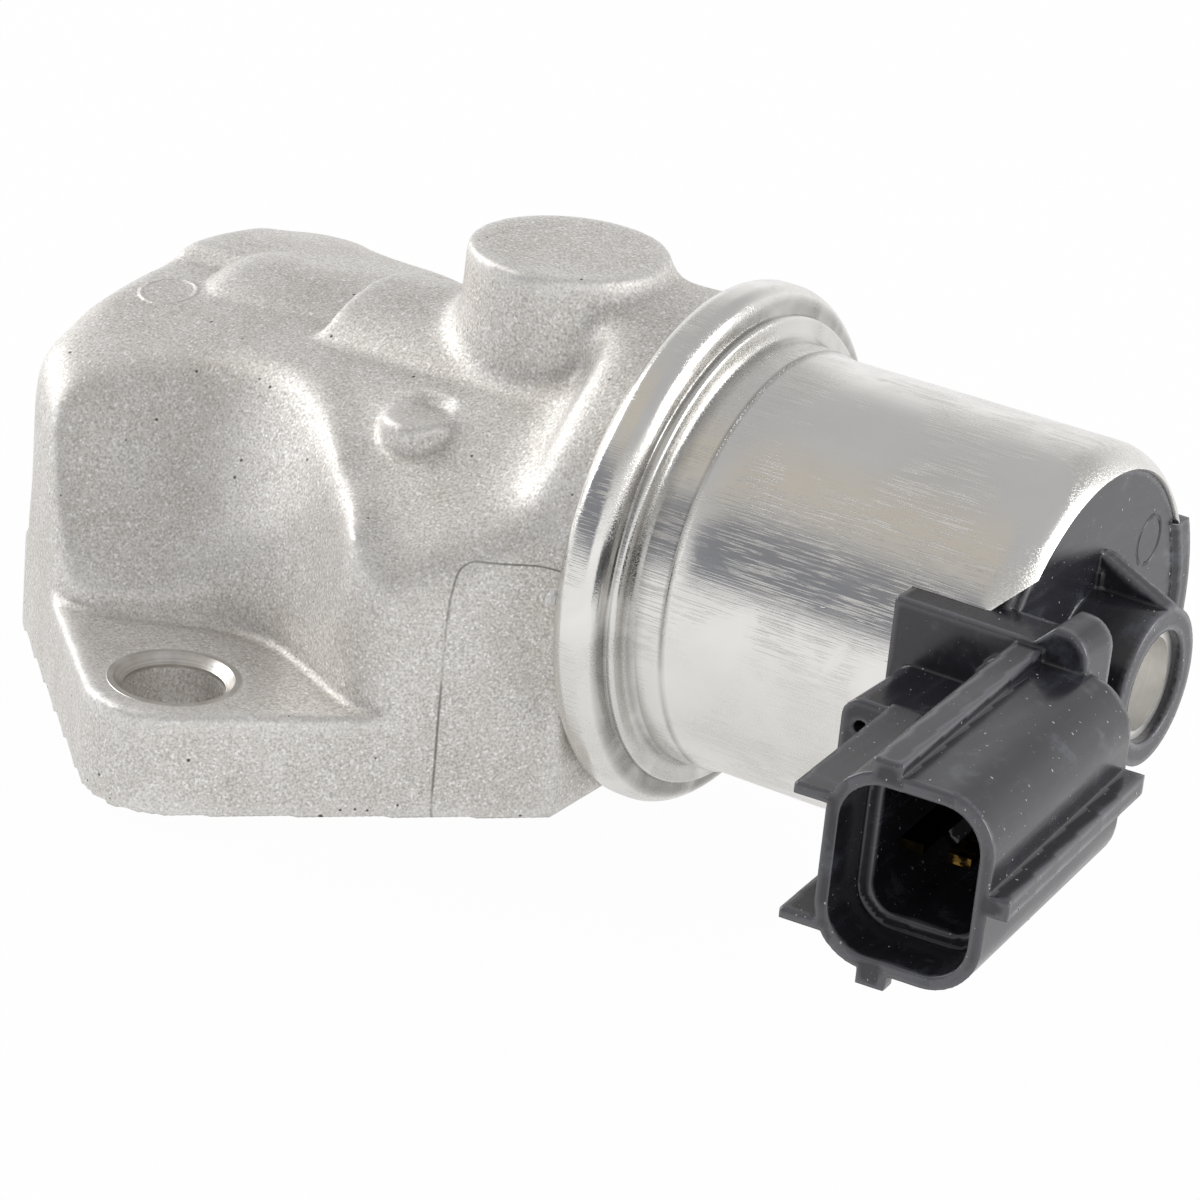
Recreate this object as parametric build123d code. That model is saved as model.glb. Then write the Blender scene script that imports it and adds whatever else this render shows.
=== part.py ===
"""Idle air control valve: a die-cast air valve body with a crimped-on solenoid and a moulded plug socket.

The origin lies on the mounting face, midway between the two bolt holes. +X runs along the solenoid's
axis towards the plug end, +Z is square to the mounting face. Lengths are in millimetres.
"""
from build123d import *
from math import cos, pi, radians, sin, tan
import os

# Fits between pieces
FIT = 0.02               # radial room round a pressed or seated piece
RUNNING = 0.04           # radial room round a sliding shaft
SEAT_GAP = 0.05          # room between the closed valve and its seat

# Mounting flange of the casting
BOLT_SPACING = 72.0
BOLT_HOLE_RADIUS = 4.5
BOLT_HOLE_CHAMFER = 0.8
EAR_RADIUS = 8.0
FLANGE_THICK = 9.5
FLANGE_LEFT = 30.2
FLANGE_HALF_WIDTH = 20.0
FLANGE_CORNER_RADIUS = 2.0

# Bolt pockets, crown and roof of the casting
POCKET_RADIUS = 11.5
POCKET_REACH = 18.0
POCKET_RISE = 4.0
POCKET_DRAFT_Z = 13.0    # above this height the pocket's wall leans away from the bolt
POCKET_DRAFT = 12.0
RIDGE_RADIUS = 6.5
CROWN_RADIUS = 3.2
CROWN_SETBACK = 1.9      # how far the crown stops short of the flange at the solenoid end
ROOF_TOP = 33.4
ROOF_RADIUS = 58.0
ROOF_SLOPE = 2.5
PAD_RISE = 1.0
PAD_INSET = 1.5
PAD_SLOPE = 1.5
PAD_FRONT_Y = 2.0
PAD_RIGHT_X = -10.0
PAD_FRONT_GRADE = 0.6
PAD_RIGHT_GRADE = 0.5
SLOPE_LEFT_X = -15.0     # the sloped part of the crown ends here, inside the pocket's roof
SLOPE_START = 12.2       # distance from the middle plane at which the sloped faces begin
SLOPE_TOP = 32.6
SLOPE_GRADE = 0.6
SLOPE_ROLL = 3.5
RIDGE_X = 1.4            # a point of the leaning wall between the pocket's roof and the sloped face
RIDGE_Y = 17.3
RIDGE_Z = 29.5
RIDGE_TURN = 34.3
RIDGE_LEAN = 35.0
EJECTOR_RADIUS = 3.2
EJECTOR_X = 9.9
EJECTOR_Y = -16.0
EJECTOR_TOP = 31.3

# Valve housing, neck and blank boss of the casting
AXIS_HEIGHT = 21.0
HOUSING_TIP_X = -24.0
HOUSING_TIP_ROUND = 5.0
INLET_HOUSING_RADIUS = 13.4
HOUSING_STEP_X = -5.8
VALVE_HOUSING_RADIUS = 15.1
VALVE_HOUSING_DRAFT = 3.2
SHOULDER_X = 24.0
SHOULDER_ROUND = 4.2
NECK_CLEARANCE = 0.2     # room between the neck and the lip crimped behind the disc
NECK_EDGE_RADIUS = 0.25
DISC_RADIUS = 22.8
DISC_THICK = 2.2
BOSS_X = 14.0
BOSS_RADIUS = 9.1
BOSS_TOP = 44.1
BOSS_DRAFT = 2.0
BOSS_FLARE = 3.0
BOSS_RIM_RADIUS = 0.6

# Air ways inside the casting
INLET_X = -14.0
OUTLET_X = 12.0
PORT_RADIUS = 7.0
INLET_BORE_RADIUS = 6.8
HOUSING_TIP_WALL = 2.5
OUTLET_BORE_RADIUS = 11.0
SEAT_POCKET_RADIUS = 8.4

# Solenoid can
JOINT_FACE_X = 33.0      # face of the casting that the solenoid seats on
CAN_RADIUS = 19.0
CAN_WALL = 1.1
CAN_LENGTH = 36.1
BEAD_EDGE_RADIUS = 1.0
CRIMP_OVERLAP = 1.0
BEAD_GAP = 0.3
STEP_RING_WIDTH = 1.1
STEP_RING_HEIGHT = 0.8
STEP_RING_FALL = 1.05
ROOT_BAND_HEIGHT = 0.35
ROOT_BAND_LENGTH = 4.4
RIM_REACH = 1.7
RIM_ROLL_LENGTH = 3.0
PLUG_NOTCH_HALF_HEIGHT = 9.6
PLUG_NOTCH_LENGTH = 9.4
KEY_NOTCH_HALF_HEIGHT = 8.6
KEY_NOTCH_LENGTH = 3.0
JOINT_SEAL_INSET = 2.4
JOINT_SEAL_SECTION = 1.5

# Magnetic circuit and coil
FRONT_PLATE_THICK = 3.0
FRONT_HUB_RADIUS = 4.8
FRONT_HUB_LENGTH = 9.0
REAR_PLATE_THICK = 2.0
BOBBIN_CORE_WALL = 1.1
BOBBIN_FLANGE_THICK = 1.5
BOBBIN_CLEARANCE = 0.7
WINDING_INSET = 1.4
GUIDE_TUBE_WALL = 0.5
CORE_RADIUS = 5.0
CORE_EYE_RADIUS = 4.2
CORE_EYE_DEPTH = 6.3
CORE_BORE_RADIUS = 2.6
CORE_RECESS = 1.0
CORE_PLUG_LENGTH = 4.0
ARMATURE_LENGTH = 14.0
ARMATURE_START_GAP = 0.8
POLE_GAP = 0.5
VALVE_TRAVEL = 3.5

# Valve train
SHAFT_RADIUS = 2.0
BUSH_WALL = 1.1
FRONT_BUSH_LENGTH = 9.0
REAR_BUSH_LENGTH = 6.0
SHAFT_REAR_REACH = 9.0
WIPER_THICK = 1.4
SEAT_FACE_X = 0.5
SEAT_THICK = 3.5
SEAT_BORE_RADIUS = 5.5
SEAT_LIP_HEIGHT = 0.6
SEAT_LIP_WIDTH = 0.9
VALVE_DISC_RADIUS = 7.6
VALVE_DISC_THICK = 2.4
DISC_SEAL_THICK = 0.9
DISC_SEAL_INNER = 4.4
NUT_ACROSS_FLATS = 5.5
NUT_THICK = 2.2
SPRING_RADIUS = 5.9
SPRING_WIRE = 0.9
SPRING_PITCH = 3.9
SPRING_CHORDS = 12       # straight chords to a turn of the spring
SPRING_WIRE_SIDES = 6
SPRING_WASHER_THICK = 1.0
SPRING_WASHER_RADIUS = 7.4

# Moulded end cap
END_DISC_THICK = 2.0
END_FACE_HEIGHT = 0.6
END_BOSS_RADIUS = 7.0
END_BOSS_LENGTH = 6.8
GUSSET_THICK = 1.8
GUSSET_Y = 1.1
GUSSET_TOP = 10.2
NECK_FRONT_Y = -19.2
NECK_BACK_Y = -14.4
NECK_SIDE_RIGHT_X = 77.2
NECK_SHOULDER_X = 72.4
NECK_SHOULDER_RISE = 1.7
NECK_CORNER_RADIUS = 2.4
LATCH_PAD_LEFT_X = 60.6
LATCH_PAD_FRONT_Y = -28.0
LATCH_PAD_HALF_HEIGHT = 4.1
LATCH_PAD_CORNER = 1.8
LATCH_HOLE_RADIUS = 0.6
LATCH_HOLE_DEPTH = 2.0

# Plug socket
SOCKET_X = 76.6
SOCKET_MOUTH_Y = -46.0
SOCKET_Z = 20.8
SOCKET_SPLAY = 4.5
SOCKET_WIDTH = 13.9
SOCKET_HEIGHT = 16.6
SOCKET_CORNER_RADIUS = 4.6
SOCKET_LENGTH = 27.6
SOCKET_WALL = 1.1
SOCKET_LAND = 1.2
SOCKET_LAND_DEPTH = 5.5
SOCKET_DEPTH = 19.5
KEY_RIB_OFFSET = -2.4
KEY_RIB_WIDTH = 2.5
KEY_RIB_HEIGHT = 1.1
SIDE_RIB_HEIGHT = 1.7
SIDE_RIB_WIDTH = 1.7
SIDE_RIB_OFFSET = 0.2
FIN_WIDTH = 2.8
FIN_THICK = 0.9
UPPER_FIN_OFFSET = 4.9
LOWER_FIN_OFFSET = -5.8
LOWER_FIN_LENGTH = 12.0
NUB_OFFSET = -1.6
NUB_WIDTH = 2.4
NUB_HEIGHT = 1.3
NUB_LENGTH = 1.6
TERMINAL_PITCH = 4.0
TERMINAL_WIDTH = 2.0
TERMINAL_THICK = 0.8
TERMINAL_SETBACK = 6.0
TERMINAL_LENGTH = 19.0

# Places along the axis that follow from the sizes above
BEAD_BACK_X = JOINT_FACE_X - DISC_THICK - CAN_WALL
BEAD_FRONT_X = JOINT_FACE_X + CAN_WALL
BEAD_RADIUS = DISC_RADIUS + CAN_WALL
CRIMP_RADIUS = DISC_RADIUS - CRIMP_OVERLAP
NECK_RADIUS = CRIMP_RADIUS - NECK_CLEARANCE
JOINT_SEAL_RADIUS = DISC_RADIUS - JOINT_SEAL_INSET
FLANGE_RIGHT = BEAD_BACK_X - BEAD_GAP
CAN_INNER_RADIUS = CAN_RADIUS - CAN_WALL
ROOT_BAND_RADIUS = CAN_RADIUS + ROOT_BAND_HEIGHT
STEP_RING_INNER = ROOT_BAND_RADIUS + STEP_RING_FALL
STEP_RING_OUTER = STEP_RING_INNER + STEP_RING_WIDTH
RIM_OPENING_RADIUS = CAN_RADIUS - RIM_REACH
BOBBIN_FLANGE_RADIUS = CAN_INNER_RADIUS - BOBBIN_CLEARANCE
WINDING_RADIUS = BOBBIN_FLANGE_RADIUS - WINDING_INSET
CAN_END_X = JOINT_FACE_X + CAN_LENGTH
RIM_INNER_X = CAN_END_X - CAN_WALL
REAR_PLATE_X = RIM_INNER_X - END_DISC_THICK - REAR_PLATE_THICK
BOBBIN_X = JOINT_FACE_X + FRONT_PLATE_THICK
BOBBIN_LENGTH = REAR_PLATE_X - BOBBIN_X
GUIDE_TUBE_RADIUS = CORE_RADIUS + RUNNING + GUIDE_TUBE_WALL
ARMATURE_X = BOBBIN_X + ARMATURE_START_GAP
POLE_FACE_X = ARMATURE_X + ARMATURE_LENGTH + VALVE_TRAVEL + POLE_GAP
END_DISC_X = RIM_INNER_X - END_DISC_THICK
END_FACE_X = RIM_INNER_X + END_FACE_HEIGHT
END_BOSS_X = END_FACE_X + END_BOSS_LENGTH
CORE_END_X = END_BOSS_X - CORE_RECESS
FRONT_HUB_X = JOINT_FACE_X - FRONT_HUB_LENGTH
BUSH_RADIUS = SHAFT_RADIUS + RUNNING + BUSH_WALL
DISC_SEAL_X = SEAT_FACE_X + SEAT_GAP
VALVE_DISC_X = DISC_SEAL_X + DISC_SEAL_THICK
VALVE_DISC_BACK_X = VALVE_DISC_X + VALVE_DISC_THICK
NUT_X = VALVE_DISC_X - NUT_THICK
SPRING_WASHER_X = JOINT_FACE_X - SPRING_WASHER_THICK


def tube(start, end, outer, inner=0.0):
    """A turned piece on the solenoid axis, from one X to another, with an optional bore."""
    length = end - start
    along_x = Pos(start, 0, AXIS_HEIGHT) * Rot(0, 90, 0)
    low = (Align.CENTER, Align.CENTER, Align.MIN)
    piece = along_x * Cylinder(outer, length, align=low)
    if inner > 0:
        piece -= along_x * Cylinder(inner, length, align=low)
    return piece


def turned(*points):
    """A piece turned about the solenoid axis from a closed outline of (x, radius) points."""
    return Pos(0, 0, AXIS_HEIGHT) * revolve(make_face(Polyline(*points, close=True)), Axis.X)


def box_between(low, high):
    """A block given by its lowest and highest corners."""
    size = [b - a for a, b in zip(low, high)]
    middle = [(a + b) / 2 for a, b in zip(low, high)]
    return Pos(*middle) * Box(*size)


def flange_outline():
    """Two bolt ears joined by straight tangents to the flange's cut-off ends."""
    ears = [Pos(0, side * BOLT_SPACING / 2) * Circle(EAR_RADIUS) for side in (-1, 1)]
    length = FLANGE_RIGHT + FLANGE_LEFT
    middle = Pos((FLANGE_RIGHT - FLANGE_LEFT) / 2, 0) * Rectangle(length, 2 * FLANGE_HALF_WIDTH)
    return make_hull(ears[0].edges() + ears[1].edges() + middle.edges())


def pocket_outline():
    """Room for a bolt head and its wrench: a round wall that opens out to the flange's edges."""
    bolt_y = BOLT_SPACING / 2
    wall = Pos(0, bolt_y) * Circle(POCKET_RADIUS)
    mouth_y = bolt_y - POCKET_RISE
    outside_y = bolt_y + 2 * EAR_RADIUS
    mouth = Polyline(
        (-POCKET_REACH, mouth_y), (POCKET_REACH, mouth_y), (POCKET_REACH, outside_y),
        (-POCKET_REACH, outside_y), close=True
    )
    return make_hull(wall.edges() + mouth.edges())


def crown_outline():
    """The casting's section above the flange, scooped out over both bolts, with rounded ridges."""
    pocket = pocket_outline()
    length = FLANGE_LEFT + FLANGE_RIGHT - CROWN_SETBACK
    reach = Pos(-FLANGE_LEFT, 0) * Rectangle(length, BOLT_SPACING, align=(Align.MIN, Align.CENTER))
    outline = Sketch() + ((flange_outline() - pocket - mirror(pocket, Plane.XZ)) & reach)
    corners = [v for v in outline.vertices() if abs(v.X) > POCKET_RADIUS]
    return fillet(corners, RIDGE_RADIUS)


def roofed(outline, top, slope):
    """A block with upright walls under a barrel roof that rises towards +X."""
    barrel = Rot(0, 90, 0) * Cylinder(ROOF_RADIUS, 2 * BOLT_SPACING)
    roof = Pos(0, 0, top) * Rot(0, -slope, 0) * Pos(0, 0, -ROOF_RADIUS) * barrel
    return extrude(outline, 2 * top) & roof


def rolled(block, roll):
    """The same block with its roof's edges rolled off."""
    return fillet(block.faces().sort_by(Axis.Z)[-1].edges(), roll)


def rear_pad():
    """The raised pad on the rear half of the roof, which fades out to the front and to the right."""
    top = ROOF_TOP + PAD_RISE
    pad = rolled(roofed(offset(crown_outline(), -PAD_INSET), top, PAD_SLOPE), CROWN_RADIUS - PAD_INSET)
    front = Plane(origin=(0, PAD_FRONT_Y, top), z_dir=(0, -PAD_FRONT_GRADE, 1))
    right = Plane(origin=(PAD_RIGHT_X, 0, top), z_dir=(PAD_RIGHT_GRADE, 0, 1))
    for side in (front, right):
        pad = split(pad, bisect_by=side, keep=Keep.BOTTOM)
    return pad


def pocket_roof():
    """The crown over the bolt pockets: a rolled roof edge that ends in a leaning wall at the right."""
    roof = rolled(roofed(crown_outline(), ROOF_TOP, ROOF_SLOPE), CROWN_RADIUS)
    turn, lean = radians(RIDGE_TURN), radians(RIDGE_LEAN)
    wall = Plane(
        origin=(RIDGE_X, -RIDGE_Y, RIDGE_Z), z_dir=(cos(turn) * cos(lean), sin(turn) * cos(lean), sin(lean))
    )
    front = split(split(roof, bisect_by=Plane.XZ, keep=Keep.TOP), bisect_by=wall, keep=Keep.BOTTOM)
    return front + mirror(front, Plane.XZ)


def sloped_roof():
    """The crown beside the pockets, which falls away to the front and to the rear."""
    hip = roofed(crown_outline(), ROOF_TOP, ROOF_SLOPE)
    for side in (-1, 1):
        fall = Plane(origin=(0, side * SLOPE_START, SLOPE_TOP), z_dir=(0, side * SLOPE_GRADE, 1))
        hip = split(hip, bisect_by=fall, keep=Keep.BOTTOM)
    hip = split(hip, bisect_by=Plane(origin=(SLOPE_LEFT_X, 0, 0), z_dir=(1, 0, 0)), keep=Keep.TOP)
    edges = []
    for face in hip.faces().filter_by(GeomType.PLANE):
        if abs(face.normal_at().Y) > FIT and face.normal_at().Z > FIT:
            edges += [e for e in face.edges() if abs(e.center().Y) > SLOPE_START and e.center().X > FIT]
    return fillet(edges, SLOPE_ROLL)


def crown():
    """The upper block of the casting, scooped out over the bolts and sloped beside them."""
    block = pocket_roof() + sloped_roof() + rear_pad()
    rise = 2 * ROOF_TOP
    draft = Cone(
        POCKET_RADIUS, POCKET_RADIUS + rise * tan(radians(POCKET_DRAFT)), rise,
        align=(Align.CENTER, Align.CENTER, Align.MIN)
    )
    for side in (-1, 1):
        block -= Pos(0, side * BOLT_SPACING / 2, POCKET_DRAFT_Z) * draft
    return block


def housing():
    """The stepped valve housing with its shoulder, neck, joint disc and the blank boss on top."""
    disc_x = JOINT_FACE_X - DISC_THICK
    shoulder_r = VALVE_HOUSING_RADIUS + (SHOULDER_X - HOUSING_STEP_X) * tan(radians(VALVE_HOUSING_DRAFT))
    outline = make_face(Polyline(
        (HOUSING_TIP_X, 0), (HOUSING_TIP_X, INLET_HOUSING_RADIUS), (HOUSING_STEP_X, INLET_HOUSING_RADIUS),
        (HOUSING_STEP_X, VALVE_HOUSING_RADIUS), (SHOULDER_X, shoulder_r), (SHOULDER_X, NECK_RADIUS),
        (disc_x, NECK_RADIUS), (disc_x, 0), close=True
    ))
    step = NECK_RADIUS - shoulder_r - 2 * NECK_EDGE_RADIUS
    rounds = (
        (HOUSING_TIP_X, INLET_HOUSING_RADIUS, HOUSING_TIP_ROUND),
        (SHOULDER_X, shoulder_r, min(SHOULDER_ROUND, step)),
        (SHOULDER_X, NECK_RADIUS, NECK_EDGE_RADIUS),
    )
    for x, r, round_off in rounds:
        corner = outline.vertices().sort_by_distance((x, r, 0))[0]
        outline = fillet(corner, round_off)
    shell = Pos(0, 0, AXIS_HEIGHT) * revolve(outline, Axis.X)
    height = BOSS_TOP - AXIS_HEIGHT
    foot = BOSS_RADIUS + height * tan(radians(BOSS_DRAFT))
    boss = Pos(BOSS_X, 0, AXIS_HEIGHT) * Cone(
        foot, BOSS_RADIUS, height, align=(Align.CENTER, Align.CENTER, Align.MIN)
    )
    boss = fillet(boss.edges().sort_by(Axis.Z)[-1], BOSS_RIM_RADIUS)
    whole = shell + boss
    root = [e for e in whole.edges().filter_by(GeomType.BSPLINE) if e.center().Z > AXIS_HEIGHT]
    return fillet(root, BOSS_FLARE) + tube(disc_x, JOINT_FACE_X, DISC_RADIUS)


def air_ways():
    """Everything cut out of the casting along the valve axis and up from the mounting face."""
    seat_back_x = SEAT_FACE_X - SEAT_THICK
    inlet = tube(HOUSING_TIP_X + HOUSING_TIP_WALL, seat_back_x, INLET_BORE_RADIUS)
    inlet += tube(seat_back_x, SEAT_FACE_X, SEAT_POCKET_RADIUS)
    outlet = tube(SEAT_FACE_X, JOINT_FACE_X, OUTLET_BORE_RADIUS)
    low = (Align.CENTER, Align.CENTER, Align.MIN)
    ports = [Pos(x, 0, 0) * Cylinder(PORT_RADIUS, AXIS_HEIGHT, align=low) for x in (INLET_X, OUTLET_X)]
    groove_x = JOINT_FACE_X - JOINT_SEAL_SECTION
    half = JOINT_SEAL_SECTION / 2 + FIT
    groove = tube(groove_x, JOINT_FACE_X, JOINT_SEAL_RADIUS + half, JOINT_SEAL_RADIUS - half)
    return [inlet, outlet, groove, *ports]


def bolt_hole():
    """A clearance hole with a chamfered mouth at the spot face."""
    low = (Align.CENTER, Align.CENTER, Align.MIN)
    hole = Cylinder(BOLT_HOLE_RADIUS, FLANGE_THICK, align=low)
    mouth = Pos(0, 0, FLANGE_THICK - BOLT_HOLE_CHAMFER) * Cone(
        BOLT_HOLE_RADIUS, BOLT_HOLE_RADIUS + BOLT_HOLE_CHAMFER, BOLT_HOLE_CHAMFER, align=low
    )
    return hole + mouth


def valve_body():
    """The die-cast body: flange, crown, housing and boss, bored for the air ways and bolts."""
    flange = extrude(flange_outline(), FLANGE_THICK)
    upright = flange.edges().filter_by(Axis.Z)
    corners = [e for e in upright if abs(abs(e.center().Y) - FLANGE_HALF_WIDTH) < FIT]
    flange = fillet(corners, FLANGE_CORNER_RADIUS)
    pin_end = Plane((EJECTOR_X, EJECTOR_Y, EJECTOR_TOP)) * Circle(EJECTOR_RADIUS)
    height = EJECTOR_TOP - AXIS_HEIGHT
    body = flange + crown() + extrude(pin_end, -height) - extrude(pin_end, height) + housing()
    for cut in air_ways():
        body -= cut
    for side in (-1, 1):
        body -= Pos(0, side * BOLT_SPACING / 2, 0) * bolt_hole()
    return body


def solenoid_can():
    """The drawn steel can, crimped round the casting's disc and rolled in at its open end."""
    lip_x = BEAD_BACK_X + CAN_WALL
    ring_x = BEAD_FRONT_X + STEP_RING_HEIGHT
    band_end_x = BEAD_FRONT_X + ROOT_BAND_LENGTH
    roll_x = CAN_END_X - RIM_ROLL_LENGTH
    roll_radius = (RIM_ROLL_LENGTH ** 2 + RIM_REACH ** 2) / (2 * RIM_REACH)
    tail = Polyline(
        (CAN_END_X, RIM_OPENING_RADIUS), (RIM_INNER_X, RIM_OPENING_RADIUS), (RIM_INNER_X, CAN_INNER_RADIUS),
        (JOINT_FACE_X, CAN_INNER_RADIUS), (JOINT_FACE_X, DISC_RADIUS + FIT), (lip_x, DISC_RADIUS + FIT),
        (lip_x, CRIMP_RADIUS), (BEAD_BACK_X, CRIMP_RADIUS), (BEAD_BACK_X, BEAD_RADIUS),
        (BEAD_FRONT_X, BEAD_RADIUS), (BEAD_FRONT_X, STEP_RING_OUTER), (ring_x, STEP_RING_OUTER),
        (ring_x, STEP_RING_INNER), (ring_x + STEP_RING_FALL, ROOT_BAND_RADIUS),
        (band_end_x, ROOT_BAND_RADIUS), (band_end_x, CAN_RADIUS), (roll_x, CAN_RADIUS)
    )
    roll = RadiusArc((roll_x, CAN_RADIUS), (CAN_END_X, RIM_OPENING_RADIUS), roll_radius)
    outline = make_face(tail.edges() + roll.edges())
    bead = [v for v in outline.vertices() if abs(v.Y - BEAD_RADIUS) < FIT]
    wall = min(abs(BEAD_RADIUS - STEP_RING_OUTER), (BEAD_FRONT_X - BEAD_BACK_X) / 2)
    outline = fillet(bead, min(BEAD_EDGE_RADIUS, wall - FIT))
    can = Pos(0, 0, AXIS_HEIGHT) * revolve(outline, Axis.X)
    return can - plug_notch() - key_notch()


def plug_notch():
    """The gap in the can's wall that the plug socket's neck comes out through, with a ramped corner."""
    start = CAN_END_X - PLUG_NOTCH_LENGTH
    top = AXIS_HEIGHT + PLUG_NOTCH_HALF_HEIGHT
    bottom = AXIS_HEIGHT - PLUG_NOTCH_HALF_HEIGHT
    ramp = 2 * CAN_WALL
    outline = Polyline(
        (start, bottom), (start, top), (CAN_END_X - ramp, top), (CAN_END_X, top + ramp),
        (CAN_END_X + ramp, top + ramp), (CAN_END_X + ramp, bottom - ramp), (CAN_END_X, bottom - ramp),
        (CAN_END_X - ramp, bottom), close=True
    )
    return extrude(Plane.XZ * make_face(outline), CAN_RADIUS + CAN_WALL)


def key_notch():
    """The short gap on the far side of the rim that keeps the end cap from turning."""
    low = (CAN_END_X - KEY_NOTCH_LENGTH, 0, AXIS_HEIGHT - KEY_NOTCH_HALF_HEIGHT)
    high = (CAN_END_X + CAN_WALL, CAN_RADIUS + CAN_WALL, AXIS_HEIGHT + KEY_NOTCH_HALF_HEIGHT)
    return box_between(low, high)


def joint_seal():
    """The square-cut seal ring in the casting's face, under the can's flange."""
    half = JOINT_SEAL_SECTION / 2
    start = JOINT_FACE_X - JOINT_SEAL_SECTION
    return tube(start, JOINT_FACE_X, JOINT_SEAL_RADIUS + half, JOINT_SEAL_RADIUS - half)


def front_flux_plate():
    """The steel plate between casting and coil, with a hub that carries the front guide bush."""
    plate = tube(JOINT_FACE_X, BOBBIN_X, CAN_INNER_RADIUS - FIT)
    plate += tube(FRONT_HUB_X, JOINT_FACE_X, FRONT_HUB_RADIUS)
    return plate - tube(FRONT_HUB_X, BOBBIN_X, BUSH_RADIUS + FIT)


def rear_flux_plate():
    """The steel washer that carries the flux from the can to the pole core."""
    return tube(REAR_PLATE_X, END_DISC_X, CAN_INNER_RADIUS - FIT, CORE_RADIUS + FIT)


def coil_bobbin():
    """The moulded spool that the coil is wound on."""
    bore = GUIDE_TUBE_RADIUS + FIT
    end = BOBBIN_X + BOBBIN_LENGTH
    spool = tube(BOBBIN_X, end, bore + BOBBIN_CORE_WALL)
    spool += tube(BOBBIN_X, BOBBIN_X + BOBBIN_FLANGE_THICK, BOBBIN_FLANGE_RADIUS)
    spool += tube(end - BOBBIN_FLANGE_THICK, end, BOBBIN_FLANGE_RADIUS)
    return spool - tube(BOBBIN_X, end, bore)


def coil_winding():
    """The copper winding, as one closed body between the spool's flanges."""
    inner = GUIDE_TUBE_RADIUS + BOBBIN_CORE_WALL + 2 * FIT
    start = BOBBIN_X + BOBBIN_FLANGE_THICK + FIT
    return tube(start, BOBBIN_X + BOBBIN_LENGTH - BOBBIN_FLANGE_THICK - FIT, WINDING_RADIUS, inner)


def guide_tube():
    """The thin brass tube that the armature slides in and the pole core is pushed into."""
    return tube(BOBBIN_X, REAR_PLATE_X, GUIDE_TUBE_RADIUS, GUIDE_TUBE_RADIUS - GUIDE_TUBE_WALL)


def pole_core():
    """The fixed steel core, with a pocket for the rear bush and an open eye at the cap end."""
    bush_end = POLE_FACE_X + REAR_BUSH_LENGTH
    core = tube(POLE_FACE_X, CORE_END_X, CORE_RADIUS)
    core -= tube(POLE_FACE_X, bush_end, BUSH_RADIUS + FIT)
    core -= tube(bush_end, CORE_END_X, CORE_BORE_RADIUS)
    return core - tube(CORE_END_X - CORE_EYE_DEPTH, CORE_END_X, CORE_EYE_RADIUS)


def core_plug():
    """The plug that closes the core's bore behind the shaft."""
    end = CORE_END_X - CORE_EYE_DEPTH
    return tube(end - CORE_PLUG_LENGTH, end, CORE_BORE_RADIUS - FIT)


def front_guide_bush():
    """The bronze bush in the front plate's hub."""
    return tube(BOBBIN_X - FRONT_BUSH_LENGTH, BOBBIN_X, BUSH_RADIUS, SHAFT_RADIUS + RUNNING)


def rear_guide_bush():
    """The bronze bush in the pole core."""
    return tube(POLE_FACE_X, POLE_FACE_X + REAR_BUSH_LENGTH, BUSH_RADIUS, SHAFT_RADIUS + RUNNING)


def shaft_wiper():
    """The felt ring on the end of the front hub that keeps dirt out of the solenoid."""
    return tube(FRONT_HUB_X - WIPER_THICK, FRONT_HUB_X, FRONT_HUB_RADIUS, SHAFT_RADIUS + RUNNING)


def spring_washer():
    """The flat washer that the return spring stands on, round the front hub."""
    return tube(SPRING_WASHER_X, JOINT_FACE_X, SPRING_WASHER_RADIUS, FRONT_HUB_RADIUS + FIT)


def valve_seat():
    """The brass seat ring pressed into the casting, with a narrow raised lip."""
    back = SEAT_FACE_X - SEAT_THICK
    lip_base = SEAT_FACE_X - SEAT_LIP_HEIGHT
    ring = tube(back, lip_base, SEAT_POCKET_RADIUS - FIT, SEAT_BORE_RADIUS)
    return ring + tube(lip_base, SEAT_FACE_X, SEAT_BORE_RADIUS + SEAT_LIP_WIDTH, SEAT_BORE_RADIUS)


def armature():
    """The steel plunger that the coil pulls towards the pole core."""
    return tube(ARMATURE_X, ARMATURE_X + ARMATURE_LENGTH, CORE_RADIUS, SHAFT_RADIUS + FIT)


def valve_shaft():
    """The ground rod that joins the armature to the valve disc."""
    rod = tube(NUT_X, ARMATURE_X + ARMATURE_LENGTH + SHAFT_REAR_REACH, SHAFT_RADIUS)
    return chamfer(rod.edges().filter_by(GeomType.CIRCLE), SHAFT_RADIUS / 4)


def valve_disc():
    """The disc that carries the seal and takes the spring."""
    return tube(VALVE_DISC_X, VALVE_DISC_BACK_X, VALVE_DISC_RADIUS, SHAFT_RADIUS + FIT)


def disc_seal():
    """The rubber ring on the disc's face that meets the seat."""
    return tube(DISC_SEAL_X, VALVE_DISC_X, VALVE_DISC_RADIUS, DISC_SEAL_INNER)


def disc_nut():
    """The small hexagon nut that holds the disc on the shaft."""
    nut = extrude(RegularPolygon(NUT_ACROSS_FLATS / 2, 6, major_radius=False), NUT_THICK)
    nut -= Cylinder(SHAFT_RADIUS + FIT, 2 * NUT_THICK)
    return Pos(NUT_X, 0, AXIS_HEIGHT) * Rot(0, 90, 0) * nut


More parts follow.
